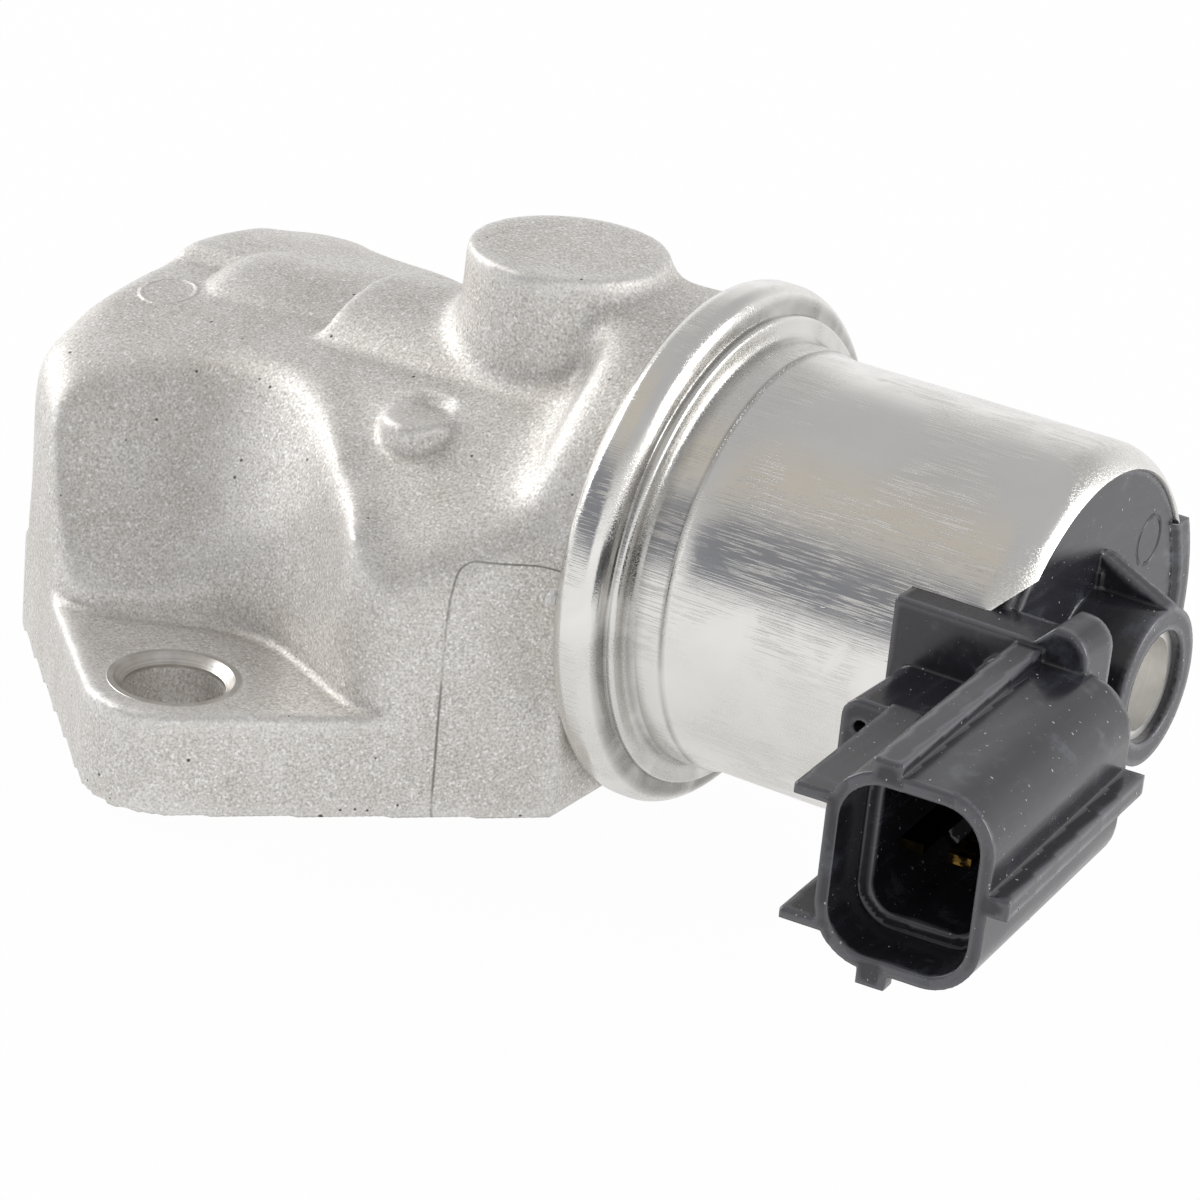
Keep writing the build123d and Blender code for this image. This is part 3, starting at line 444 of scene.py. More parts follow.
def turned_skin(name, profile, turns, axis_from, axis_way):
    """Turns a closed (along, radius) profile in millimetres round an axis, given by a point and a way."""
    shape = bmesh.new()
    place = Matrix.Translation(Vector(axis_from)) @ Vector((0, 0, 1)).rotation_difference(
        Vector(axis_way)).to_matrix().to_4x4()
    rings = []
    for i in range(turns):
        a = 2 * math.pi * i / turns
        rings.append([
            shape.verts.new(place @ Vector((r * MM * math.cos(a), r * MM * math.sin(a), h * MM)))
            for h, r in profile])
    for i in range(turns):
        here, there = rings[i], rings[(i + 1) % turns]
        for j in range(len(profile)):
            k = (j + 1) % len(profile)
            shape.faces.new((here[j], here[k], there[k], there[j]))
    bmesh.ops.recalc_face_normals(shape, faces=shape.faces)
    return as_piece(name, shape)


def metal_rings(name, light, dark, smooth, rough, line, centre, along):
    """A turned metal: fine rings round an axis through centre, from one tone and gloss to another."""
    material, tree, shader, where = new_material(name)
    moved = put(tree, "ShaderNodeMapping", {"Vector": where, "Location": tuple(-c for c in centre)})
    flat = put(tree, "ShaderNodeVectorMath", {
        0: moved, 1: tuple(1.0 - abs(c) for c in along)}, operation="MULTIPLY")
    radius = put(tree, "ShaderNodeVectorMath", {0: flat}, operation="LENGTH")
    height = put(tree, "ShaderNodeVectorMath", {0: moved, 1: along}, operation="DOT_PRODUCT")
    cut = put(tree, "ShaderNodeCombineXYZ", {"X": radius, "Y": height})
    rings = put(tree, "ShaderNodeTexNoise", {"Vector": cut, "Scale": 1 / line, "Detail": 2.0})
    cloud = put(tree, "ShaderNodeTexNoise", {"Vector": where, "Scale": 1 / (2.5 * MM), "Detail": 3.0})
    mixed = maths(tree, "MULTIPLY_ADD", rings, 0.6, cloud)
    share = put(tree, "ShaderNodeMapRange", {"Value": mixed, "From Min": 0.55, "From Max": 1.05})
    colour = mix(tree, share, ink(dark), ink(light))
    polish = put(tree, "ShaderNodeMapRange", {"Value": share, "To Min": rough, "To Max": smooth})
    bump = put(tree, "ShaderNodeBump", {"Height": rings, "Strength": 0.2, "Distance": 0.02 * MM})
    join(tree, shader, {"Base Color": colour, "Metallic": 1.0, "Roughness": polish, "Normal": bump})
    return material


for side, end in ((-1, "front"), (1, "rear")):
    centre = (0.0, side * BOLT_Y, 0.0)
    top = SEAT_Z + SEAT_PROUD
    seat = turned_skin("bolt_seat_" + end, [
        (SEAT_LOW, HOLE_R), (SEAT_Z - SEAT_CHAMFER, HOLE_R), (top, HOLE_R + SEAT_CHAMFER),
        (top, SEAT_RING_R - SEAT_EASE), (SEAT_Z - SEAT_RIM_DEPTH, SEAT_RING_R),
        (SEAT_Z - SEAT_SKIRT_DEPTH, SEAT_RING_R - SEAT_SKIRT_IN), (SEAT_LOW, HOLE_R + SEAT_WALL)],
        SEAT_TURNS, centre, (0, 0, 1))
    seat.data.shade_smooth()
    seat.data.set_sharp_from_angle(angle=math.radians(30))
    # Drilled aluminium: brighter than the blasted skin, with fine rings from the cutter.
    seat.data.materials.append(metal_rings(
        "drilled_aluminium_" + end, "#E6E4E1", "#B9B4AD", 0.3, 0.45, 0.12 * MM, centre, (0.0, 0.0, 1.0)))
    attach(seat, "valve_housing")

# Joint seal
# A square-cut rubber ring lies in a groove of the casting's face, pressed flat by the can's flange.
# Moulded rubber: a matt near-black with a faint bloom.
seal_finish, tree, shader, where = new_material("moulded_rubber")
bloom = put(tree, "ShaderNodeTexNoise", {"Vector": where, "Scale": 1 / (1.5 * MM), "Detail": 4.0})
rubber_tone = mix(tree, bloom, ink("#161617"), ink("#2E2E30"))
rubber_bump = put(tree, "ShaderNodeBump", {"Height": bloom, "Strength": 0.1, "Distance": 0.02 * MM})
join(tree, shader, {"Base Color": rubber_tone, "Roughness": 0.75, "Normal": rubber_bump})


def finish_node(node, material):
    """Gives a solid of the frame its finish."""
    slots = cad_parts[node].data.materials
    slots.clear()
    slots.append(material)


finish_node("joint_seal", seal_finish)

# Valve seat
# A brass ring with a narrow lip is turned and then pressed into the casting.
# Turned brass: warm yellow with fine rings.
AXIS_CENTRE = (0.0, 0.0, AXIS_Z)
AXIS_WAY = (1.0, 0.0, 0.0)
finish_node("valve_seat", metal_rings(
    "turned_brass", "#E2C277", "#B8923F", 0.22, 0.36, 0.15 * MM, AXIS_CENTRE, AXIS_WAY))

# Moving valve
# A ground rod carries a pressed-on armature at one end and the valve disc at the other. A rubber ring
# on the disc meets the seat, and a small nut holds the disc.
# Ground stainless rod: bright, with very fine rings. Turned plated steel: greyer. Turned aluminium: pale.
for node, finish, light, dark, smooth, rough, line in (
        ("valve_shaft", "ground_stainless_steel", "#DCDDDF", "#B4B6B9", 0.14, 0.26, 0.08 * MM),
        ("armature", "turned_nickel_plated_steel", "#CFCBC0", "#A39F95", 0.24, 0.4, 0.2 * MM),
        ("valve_disc", "turned_aluminium", "#E3E3E2", "#BDBCBA", 0.26, 0.42, 0.18 * MM),
        ("disc_nut", "zinc_plated_steel", "#CDD0D2", "#9FA3A4", 0.28, 0.44, 0.25 * MM)):
    finish_node(node, metal_rings(finish, light, dark, smooth, rough, line, AXIS_CENTRE, AXIS_WAY))
finish_node("disc_seal", seal_finish)

# Return spring
# A coil of hard-drawn stainless wire stands between the valve disc and a washer and shuts the valve.
# On the valve it shortens towards the washer as the valve opens; this coil is built at one length.
SPRING_LOW_X = 3.85 * MM
SPRING_HIGH_X = 32.0 * MM
SPRING_R = 5.9 * MM
SPRING_WIRE_R = 0.44 * MM
SPRING_TURNS = 7.0
SPRING_STEPS = 48
WIRE_SIDES = 12


def node_group(name, sizes):
    """A new geometry tree with a named number input for each size, and its input and output nodes."""
    group = bpy.data.node_groups.new(name, "GeometryNodeTree")
    group.interface.new_socket("Geometry", in_out="INPUT", socket_type="NodeSocketGeometry")
    for label, value in sizes:
        kind = "NodeSocketInt" if isinstance(value, int) else "NodeSocketFloat"
        group.interface.new_socket(label, in_out="INPUT", socket_type=kind)
    group.interface.new_socket("Geometry", in_out="OUTPUT", socket_type="NodeSocketGeometry")
    return group, put(group, "NodeGroupInput"), put(group, "NodeGroupOutput")


def grown(piece, group, sizes):
    """Runs a geometry tree on a piece with its sizes and keeps the result as a plain mesh."""
    grow = piece.modifiers.new("grow", "NODES")
    grow.node_group = group
    sockets = {s.name: s.identifier for s in group.interface.items_tree if s.in_out == "INPUT"}
    for label, value in sizes:
        grow[sockets[label]] = value
    return settle(piece)


# Hard-drawn stainless wire: bright grey with fine die lines round the coil.
wire_finish = metal_rings(
    "hard_drawn_stainless_wire", "#D2D3D5", "#9C9EA1", 0.2, 0.34, 0.1 * MM, AXIS_CENTRE, AXIS_WAY)
spring_sizes = [
    ("Turns", SPRING_TURNS), ("Radius", SPRING_R), ("Wire radius", SPRING_WIRE_R),
    ("Length", SPRING_HIGH_X - SPRING_LOW_X - 2 * SPRING_WIRE_R), ("Steps in a turn", SPRING_STEPS)]
tree, given, result = node_group("spring_coil", spring_sizes)
coil = put(tree, "GeometryNodeCurveSpiral", {
    "Resolution": given.outputs["Steps in a turn"], "Rotations": given.outputs["Turns"],
    "Start Radius": given.outputs["Radius"], "End Radius": given.outputs["Radius"],
    "Height": given.outputs["Length"]})
section = put(tree, "GeometryNodeCurvePrimitiveCircle", {
    "Resolution": WIRE_SIDES, "Radius": given.outputs["Wire radius"]})
wound = put(tree, "GeometryNodeCurveToMesh", {"Curve": coil, "Profile Curve": section, "Fill Caps": True})
laid = put(tree, "GeometryNodeTransform", {
    "Geometry": wound, "Rotation": (0.0, math.radians(90), 0.0),
    "Translation": (SPRING_LOW_X + SPRING_WIRE_R, 0.0, AXIS_Z)})
real = put(tree, "GeometryNodeRealizeInstances", {"Geometry": laid})
dressed = put(tree, "GeometryNodeSetMaterial", {"Geometry": real, "Material": wire_finish})
join(tree, result, {"Geometry": dressed})
spring = bpy.data.objects.new("spring_coil", bpy.data.meshes.new("spring_coil"))
bpy.context.scene.collection.objects.link(spring)
grown(spring, tree, spring_sizes)
spring.data.shade_smooth()
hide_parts("return_spring")
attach(spring, "valve_housing")
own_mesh(spring)

# Guides of the shaft
# Two sintered bronze bushes carry the rod, a felt ring wipes it, and a flat washer takes the spring.
# Sintered bronze: brown-gold and grainy, with a satin sheen from its oil.
bush_finish, tree, shader, where = new_material("sintered_bronze")
powder = put(tree, "ShaderNodeTexVoronoi", {"Vector": where, "Scale": 1 / (0.12 * MM)})
bush_tone = mix(tree, powder, ink("#B98A4B"), ink("#7C5A2E"))
bush_bump = put(tree, "ShaderNodeBump", {"Height": powder, "Strength": 0.3, "Distance": 0.03 * MM})
join(tree, shader, {"Base Color": bush_tone, "Metallic": 0.9, "Roughness": 0.42, "Normal": bush_bump})
finish_node("front_guide_bush", bush_finish)
finish_node("rear_guide_bush", bush_finish)

# Pressed wool felt: a dull grey-brown with loose short fibres.
felt_finish, tree, shader, where = new_material("pressed_wool_felt")
fibre_way = put(tree, "ShaderNodeMapping", {
    "Vector": where, "Scale": (1 / (0.9 * MM), 1 / (0.12 * MM), 1 / (0.12 * MM)),
    "Rotation": (0.6, 0.9, 0.3)})
fibre = put(tree, "ShaderNodeTexNoise", {"Vector": fibre_way, "Scale": 1.0, "Detail": 4.0})
felt_tone = mix(tree, fibre, ink("#6E675A"), ink("#B3AB9B"))
felt_bump = put(tree, "ShaderNodeBump", {"Height": fibre, "Strength": 0.6, "Distance": 0.08 * MM})
join(tree, shader, {"Base Color": felt_tone, "Roughness": 0.95, "Normal": felt_bump})
finish_node("shaft_wiper", felt_finish)

# Magnetic circuit
# Two soft iron plates, a fixed core and a plug close the circuit round the coil, and a brass tube guides
# the armature. The core's end is turned bright and shows in the eye of the end cap.
# Turned soft iron: mid grey with even rings. The core's end is turned bright, and its near-white copy is
# partly painted light.
iron_finish = metal_rings(
    "turned_soft_iron", "#B9B8B6", "#87857F", 0.3, 0.46, 0.22 * MM, AXIS_CENTRE, AXIS_WAY)
# Painted light: a near-white copy of the iron, so that the core seen in the eye of the cap looks brightly
# lit
core_finish_painted_lighter = metal_rings(
    "turned_iron_painted_lighter", "#FFFEFC", "#EEECE8", 0.4, 0.52, 0.2 * MM, AXIS_CENTRE, AXIS_WAY)
for node in ("front_flux_plate", "rear_flux_plate", "spring_washer"):
    finish_node(node, iron_finish)
for node in ("pole_core", "core_plug"):
    finish_node(node, core_finish_painted_lighter)
finish_node("guide_tube", metal_rings(
    "drawn_brass_tube", "#DDBF7C", "#B3914A", 0.2, 0.32, 0.12 * MM, AXIS_CENTRE, AXIS_WAY))

# Coil
# Enamelled copper wire is wound in even layers on a spool of natural glass-filled nylon.
# Moulded natural nylon: a pale straw colour, satin, with faint flow marks.
spool_finish, tree, shader, where = new_material("moulded_natural_nylon")
flow = put(tree, "ShaderNodeTexNoise", {
    "Vector": where, "Scale": 1 / (2.2 * MM), "Detail": 4.0, "Distortion": 0.8})
spool_tone = mix(tree, flow, ink("#CFC6AE"), ink("#B7AC90"))
spool_gloss = put(tree, "ShaderNodeMapRange", {"Value": flow, "To Min": 0.35, "To Max": 0.55})
join(tree, shader, {"Base Color": spool_tone, "Roughness": spool_gloss})
finish_node("coil_bobbin", spool_finish)

# Enamelled copper: red-brown with a clear gloss, each turn of wire a round ridge 0.4 mm wide.
WIRE_PITCH = 0.4 * MM
winding_finish, tree, shader, where = new_material("enamelled_copper_wire")
turns = put(tree, "ShaderNodeTexWave", {
    "Vector": where, "Scale": math.pi / 10 / WIRE_PITCH, "Distortion": 0.0}, wave_profile="SIN")
winding_tone = mix(tree, turns.outputs["Fac"], ink("#5E2A14"), ink("#B8643A"))
turn_bump = put(tree, "ShaderNodeBump", {
    "Height": turns.outputs["Fac"], "Strength": 0.8, "Distance": 0.12 * MM})
join(tree, shader, {"Base Color": winding_tone, "Metallic": 0.8, "Roughness": 0.28, "Normal": turn_bump})
finish_node("coil_winding", winding_finish)

# Solenoid can
# The can is deep-drawn from plated sheet steel. Its flange is crimped round the casting's disc as a
# rounded bead, its far rim is rolled in over the end cap, and a notch lets the plug socket out.
CAN_TURNS = 256
CAN_R = 19.0
CAN_WALL = 1.1
CAN_END_X = 69.1
BEAD_BACK_X = 29.7
BEAD_FRONT_X = 34.1
BEAD_R = 23.9
BEAD_ROLL = 1.7
CRIMP_R = 21.8
RIM_R = 17.3
RIM_ROLL_X = 3.4
DISC_FRONT_X = 33.0
DISC_R = 22.82
BEAD_FILLET = 0.25
STEP_R = 21.5
STEP_ROLL = 0.4
STEP_END_X = BEAD_FRONT_X + 0.85
STEP_FOOT_R = 20.5
BAND_R = 19.35
BAND_FILLET = 0.9
BAND_ROLL = 0.15
BAND_ROLL_X = BEAD_FRONT_X + 4.0
BAND_END_X = BEAD_FRONT_X + 4.7
RIM_EASE_X = 0.3
RIM_EASE_R = 0.15
CAN_STEP = 4.1
CAN_STEPS = 6
CUT_REACH = 25.0
NOTCH_X = 59.7
NOTCH_HALF = 9.6
KEY_X = 66.1
KEY_HALF = 8.6
EASED_EDGE = 0.22 * MM


def arc(middle, radius, start, end, steps):
    """Points (x, r) of an arc in the profile plane, from one angle to another in degrees."""
    turns = [math.radians(start + (end - start) * i / steps) for i in range(steps + 1)]
    return [(middle[0] + radius * math.cos(a), middle[1] + radius * math.sin(a)) for a in turns]


roll_in = (RIM_ROLL_X ** 2 + (CAN_R - RIM_R) ** 2) / (2 * (CAN_R - RIM_R))
roll_angle = math.degrees(math.asin(RIM_ROLL_X / roll_in))
profile = [(BEAD_BACK_X, CRIMP_R)]
profile += arc((BEAD_BACK_X + BEAD_ROLL, BEAD_R - BEAD_ROLL), BEAD_ROLL, 180, 90, 14)
profile += arc((BEAD_FRONT_X - BEAD_ROLL, BEAD_R - BEAD_ROLL), BEAD_ROLL, 90, 0, 14)
profile += arc((BEAD_FRONT_X + BEAD_FILLET, STEP_R + BEAD_FILLET), BEAD_FILLET, 180, 270, 4)
profile += arc((STEP_END_X - STEP_ROLL, STEP_R - STEP_ROLL), STEP_ROLL, 90, 0, 6)
profile += [(STEP_END_X, STEP_FOOT_R)]
profile += arc((STEP_END_X + BAND_FILLET, BAND_R + BAND_FILLET), BAND_FILLET, 180, 270, 8)
profile += [(BAND_ROLL_X, BAND_R)]
profile += arc((BAND_ROLL_X + BAND_ROLL, BAND_R - BAND_ROLL), BAND_ROLL, 90, 30, 3)
profile += [(BAND_END_X + CAN_STEP * i, CAN_R) for i in range(CAN_STEPS + 1)]
profile += arc((CAN_END_X - RIM_ROLL_X, CAN_R - roll_in), roll_in, 90, 90 - roll_angle, 14)
profile += [(CAN_END_X - RIM_EASE_X, RIM_R - RIM_EASE_R), (CAN_END_X - CAN_WALL, RIM_R)]
profile += [(CAN_END_X - CAN_WALL, CAN_R - CAN_WALL), (DISC_FRONT_X, CAN_R - CAN_WALL)]
profile += [(DISC_FRONT_X, DISC_R), (BEAD_BACK_X + CAN_WALL, DISC_R), (BEAD_BACK_X + CAN_WALL, CRIMP_R)]
can = turned_skin("solenoid_can_shell", profile, CAN_TURNS, AXIS_CENTRE, AXIS_WAY)
ramp = 2 * CAN_WALL
top, bottom = AXIS_HEIGHT + NOTCH_HALF, AXIS_HEIGHT - NOTCH_HALF
key_top, key_bottom = AXIS_HEIGHT + KEY_HALF, AXIS_HEIGHT - KEY_HALF
cut_out(can, [
    block_through("notch", [
        (NOTCH_X, bottom), (NOTCH_X, top), (CAN_END_X - ramp, top), (CAN_END_X, top + ramp),
        (CAN_END_X + ramp, top + ramp), (CAN_END_X + ramp, bottom - ramp), (CAN_END_X, bottom - ramp),
        (CAN_END_X - ramp, bottom)], -CUT_REACH, 0.0),
    block_through("key", [
        (KEY_X, key_bottom), (KEY_X, key_top), (CAN_END_X + ramp, key_top), (CAN_END_X + ramp, key_bottom)],
        0.0, CUT_REACH),
])
ease = can.modifiers.new("ease", "BEVEL")
ease.width = EASED_EDGE
ease.segments = 2
ease.limit_method = "ANGLE"
ease.angle_limit = math.radians(50)
can_mesh = settle(can)
can_mesh.shade_smooth()
can_mesh.set_sharp_from_angle(angle=math.radians(42))

# Drawn steel, plated: bright and mirror-like, with fine lines along the draw, rub marks and dull smears.
can_finish, tree, shader, where = new_material("drawn_plated_steel")
DRAW_LINE = 1 / (0.14 * MM)
DRAW_LENGTH = 1 / (16.0 * MM)
RUB_LINE = 1 / (0.13 * MM)
RUB_LENGTH = 1 / (5.0 * MM)
SMEAR = 1 / (7.0 * MM)
# Painted shade: patchy dark bands in the grooves and corners of the bead's face, at the listed places along
# the axis
GROOVE_SHADE_END_X = 40.0
GROOVE_SHADE = (
    (33.7, 0.0), (34.15, 0.75), (34.5, 0.1), (34.85, 0.15), (35.2, 0.6), (35.9, 0.2), (36.6, 0.0),
    (38.0, 0.0), (38.35, 0.55), (38.7, 0.0))
drawn_way = put(tree, "ShaderNodeMapping", {"Vector": where, "Scale": (DRAW_LENGTH, DRAW_LINE, DRAW_LINE)})
lines = put(tree, "ShaderNodeTexNoise", {"Vector": drawn_way, "Scale": 1.0, "Detail": 3.0})
smear = put(tree, "ShaderNodeTexNoise", {"Vector": where, "Scale": SMEAR, "Detail": 4.0, "Distortion": 0.6})
rub_way = put(tree, "ShaderNodeMapping", {
    "Vector": where, "Scale": (RUB_LENGTH, RUB_LINE, RUB_LINE), "Rotation": (0.0, 0.05, 0.06)})
rubs = put(tree, "ShaderNodeTexNoise", {"Vector": rub_way, "Scale": 1.0, "Detail": 2.0})
rub = put(tree, "ShaderNodeMapRange", {"Value": rubs, "From Min": 0.52, "From Max": 0.62})
rubbed_here = put(tree, "ShaderNodeMapRange", {
    "Value": smear, "From Min": 0.42, "From Max": 0.56, "To Min": 0.15})
rub = maths(tree, "MULTIPLY", rub, rubbed_here)
steel_tone = mix(tree, smear, ink("#F4F3F1"), ink("#DEDBD6"))
along = put(tree, "ShaderNodeSeparateXYZ", {"Vector": where})
# Painted shade in the bead's grooves, made patchy by the smear noise
steps = put(tree, "ShaderNodeMapRange", {
    "Value": along.outputs["X"], "From Min": BEAD_BACK_X * MM, "From Max": GROOVE_SHADE_END_X * MM})
groove_shade = put(tree, "ShaderNodeValToRGB", {"Fac": steps})
groove_shade.color_ramp.elements[0].color = (0.0, 0.0, 0.0, 1.0)
groove_shade.color_ramp.elements[1].color = (0.0, 0.0, 0.0, 1.0)
for x, amount in GROOVE_SHADE:
    mark = groove_shade.color_ramp.elements.new((x - BEAD_BACK_X) / (GROOVE_SHADE_END_X - BEAD_BACK_X))
    mark.color = (amount, amount, amount, 1.0)
groove_shade_patch = put(tree, "ShaderNodeMapRange", {
    "Value": smear, "From Min": 0.3, "From Max": 0.55, "To Min": 0.5})
groove_shade_share = maths(tree, "MULTIPLY", groove_shade, groove_shade_patch)
steel_groove_shaded = mix(tree, groove_shade_share, steel_tone, ink("#5B5752"))
polish = put(tree, "ShaderNodeMapRange", {
    "Value": smear, "From Min": 0.3, "From Max": 0.7, "To Min": 0.14, "To Max": 0.24})
polished = maths(tree, "MULTIPLY_ADD", rub, 0.2, polish)
ding_way = put(tree, "ShaderNodeMapping", {
    "Vector": where, "Scale": (1 / (1.6 * MM), 1 / (0.4 * MM), 1 / (0.4 * MM)), "Rotation": (0.0, 0.3, 0.2)})
dings = put(tree, "ShaderNodeTexNoise", {"Vector": ding_way, "Scale": 1.0, "Detail": 1.0})
ding = put(tree, "ShaderNodeMapRange", {"Value": dings, "From Min": 0.73, "From Max": 0.8, "To Max": 1.2})
height = maths(tree, "MULTIPLY_ADD", rub, -1.2, lines)
height = maths(tree, "SUBTRACT", height, ding)
bump = put(tree, "ShaderNodeBump", {"Height": height, "Strength": 0.34, "Distance": 0.03 * MM})
join(tree, shader, {"Base Color": steel_groove_shaded, "Metallic": 1.0, "Roughness": polished, "Normal": bump})
can_mesh.materials.append(can_finish)
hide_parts("solenoid_can")
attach(can, "valve_housing")

# End cap with plug socket
# The cap, its neck and the plug socket are one moulding in black glass-filled nylon. The tool leaves
# crisp ribs, an ejector mark and a small slot on the end disc, and handling leaves smudges and dust.
END_FACE_X = 68.6 * MM
EJECTOR_MARK = (0.0, 9.9 * MM, 29.4 * MM)
EJECTOR_MARK_R = 2.2 * MM
END_DISC_R = 16.9 * MM
KEY_FROM_Y = 0.5 * MM
KEY_STEP = 0.6 * MM
END_SLOT = (15.5 * MM, 23.9 * MM)
END_SLOT_R = 0.9 * MM
END_SLOT_DEPTH = 0.5 * MM
END_SLOT_FLOOR = 0.6
END_FACE_NEAR = 0.3 * MM
END_MARK_FROM_X = END_FACE_X - 0.4 * MM
CAP_GRID_DEPTH = 8
CAP_GRID_SHARE = 0.75
CAP_SMOOTHING = 1
CAP_EDGE_ROUNDS = 4
CAP_EDGE_REACH = 0.1 * MM
cap = merged_copy("connector_moulding", "end_cap_and_socket")
skin = cap.modifiers.new("skin", "REMESH")
skin.mode = "SHARP"
skin.octree_depth = CAP_GRID_DEPTH
skin.scale = CAP_GRID_SHARE
skin.use_remove_disconnected = False
skin.use_smooth_shade = True
soft = cap.modifiers.new("soft", "SMOOTH")
soft.factor = 0.5
soft.iterations = CAP_SMOOTHING
cap_mesh = settle(cap)
places, normals = read_points(cap_mesh)
from_slot = np.hypot(places[:, 1] - END_SLOT[0], places[:, 2] - END_SLOT[1])
in_slot = fade(from_slot, END_SLOT_R, END_SLOT_FLOOR * END_SLOT_R)
in_slot *= np.abs(places[:, 0] - END_FACE_X) < END_FACE_NEAR
places[:, 0] -= in_slot * END_SLOT_DEPTH
from_axis = np.hypot(places[:, 1], places[:, 2] - AXIS_Z)
on_key = (places[:, 1] > KEY_FROM_Y) & (from_axis < END_DISC_R) & (normals[:, 0] > -0.1)
on_key &= (places[:, 0] > END_FACE_X) & (places[:, 0] < END_FACE_X + KEY_STEP)
places[on_key, 0] = END_FACE_X
cap_mesh.vertices.foreach_set("co", places.ravel())
cap_mesh.update()
mark_edges(cap_mesh, CAP_EDGE_ROUNDS, CAP_EDGE_REACH)

# Glass-filled nylon, moulded in black: a deep satin skin with soft blue-grey streaks of fibre, a few dull
# smudges, and paler edges, partly rubbed and partly a painted highlight. A fine ring is left on the end disc
# by an ejector pin.
cap_finish, tree, shader, where = new_material("moulded_black_nylon")
cloud = put(tree, "ShaderNodeTexNoise", {
    "Vector": where, "Scale": 1 / (4.0 * MM), "Detail": 5.0, "Roughness": 0.65})
streak_way = put(tree, "ShaderNodeMapping", {
    "Vector": where, "Scale": (1 / (0.9 * MM), 1 / (8.0 * MM), 1 / (0.9 * MM)),
    "Rotation": (0.0, 0.0, 0.08)})
streak = put(tree, "ShaderNodeTexNoise", {"Vector": streak_way, "Scale": 1.0, "Detail": 4.0})
skin = put(tree, "ShaderNodeTexNoise", {"Vector": where, "Scale": 1 / (0.22 * MM), "Detail": 2.0})
edge = put(tree, "ShaderNodeAttribute", attribute_name="edge")
base = mix(tree, cloud, ink("#1C1C20"), ink("#33333A"))
streak_share = put(tree, "ShaderNodeMapRange", {
    "Value": streak, "From Min": 0.52, "From Max": 0.74, "To Max": 0.6})
streaked = mix(tree, streak_share, base, ink("#36373E"))
smudge = put(tree, "ShaderNodeMapRange", {"Value": cloud, "From Min": 0.58, "From Max": 0.7, "To Max": 0.5})
smudged = mix(tree, smudge, streaked, ink("#5A5D66"))
# Paler edges: partly rubbed, partly a painted highlight along every edge that stands out
rubbed_and_painted_highlight = put(tree, "ShaderNodeMapRange", {
    "Value": edge.outputs["Fac"], "From Min": 0.25, "From Max": 0.9, "To Max": 0.6})
rubbed_and_painted_highlight = mix(tree, rubbed_and_painted_highlight, smudged, ink("#6E6E74"))
satin = put(tree, "ShaderNodeMapRange", {
    "Value": streak, "From Min": 0.3, "From Max": 0.7, "To Min": 0.16, "To Max": 0.29})
mark_line = ring_line(tree, where, EJECTOR_MARK, (0.0, 1.0, 1.0), EJECTOR_MARK_R, 0.04 * MM, 0.24 * MM)
on_disc = put(tree, "ShaderNodeSeparateXYZ", {"Vector": where})
on_disc = maths(tree, "GREATER_THAN", on_disc.outputs["X"], END_MARK_FROM_X)
mark_line = maths(tree, "MULTIPLY", mark_line, on_disc)
lined = mix(tree, mark_line, rubbed_and_painted_highlight, ink("#040405"))
bump = put(tree, "ShaderNodeBump", {"Height": skin, "Strength": 0.15, "Distance": 0.02 * MM})
sunk = put(tree, "ShaderNodeBump", {
    "Height": mark_line, "Strength": 0.9, "Distance": 0.12 * MM, "Normal": bump},
    invert=True)
join(tree, shader, {"Base Color": lined, "Roughness": satin, "IOR": 1.6, "Normal": sunk})
cap_mesh.materials.clear()
cap_mesh.materials.append(cap_finish)
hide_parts("connector_moulding")
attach(cap, "valve_housing")

# Dust on the cap
# Pale lint and grit from handling cling to the black moulding, as flat specks of many sizes.
# House dust: a matt warm grey.
dust_finish, tree, shader, where = new_material("settled_dust")
grit = put(tree, "ShaderNodeTexNoise", {"Vector": where, "Scale": 1 / (0.2 * MM), "Detail": 2.0})
dust_tone = mix(tree, grit, ink("#8E8B87"), ink("#D8D6D2"))
join(tree, shader, {"Base Color": dust_tone, "Roughness": 0.9})
DUST_PER_AREA = 0.3 / MM ** 2
DUST_R = 0.055 * MM
DUST_SEED = 11
dust_sizes = [("Specks in an area", DUST_PER_AREA), ("Speck radius", DUST_R), ("Seed", DUST_SEED)]
tree, given, result = node_group("dust", dust_sizes)
spots = put(tree, "GeometryNodeDistributePointsOnFaces", {
    "Mesh": given.outputs["Geometry"], "Density": given.outputs["Specks in an area"],
    "Seed": given.outputs["Seed"]})
speck = put(tree, "GeometryNodeMeshIcoSphere", {"Radius": given.outputs["Speck radius"], "Subdivisions": 1})
spread = put(tree, "FunctionNodeRandomValue", {
    "Min": 0.0, "Max": 1.0, "Seed": given.outputs["Seed"]}, data_type="FLOAT")
few_large = maths(tree, "POWER", spread, 5.0)
size = put(tree, "ShaderNodeMapRange", {"Value": few_large, "To Min": 0.45, "To Max": 1.9})
long_size = maths(tree, "MULTIPLY", size, 1.5)
flat_size = maths(tree, "MULTIPLY", size, 0.35)
shape = put(tree, "ShaderNodeCombineXYZ", {"X": size, "Y": long_size, "Z": flat_size})
strewn = put(tree, "GeometryNodeInstanceOnPoints", {
    "Points": spots, "Instance": speck, "Rotation": spots.outputs["Rotation"],
    "Scale": shape})
real = put(tree, "GeometryNodeRealizeInstances", {"Geometry": strewn})
dressed = put(tree, "GeometryNodeSetMaterial", {"Geometry": real, "Material": dust_finish})
join(tree, result, {"Geometry": dressed})
dust = bpy.data.objects.new("dust_on_cap", cap_mesh.copy())
bpy.context.scene.collection.objects.link(dust)
grown(dust, tree, dust_sizes)
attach(dust, "valve_housing")
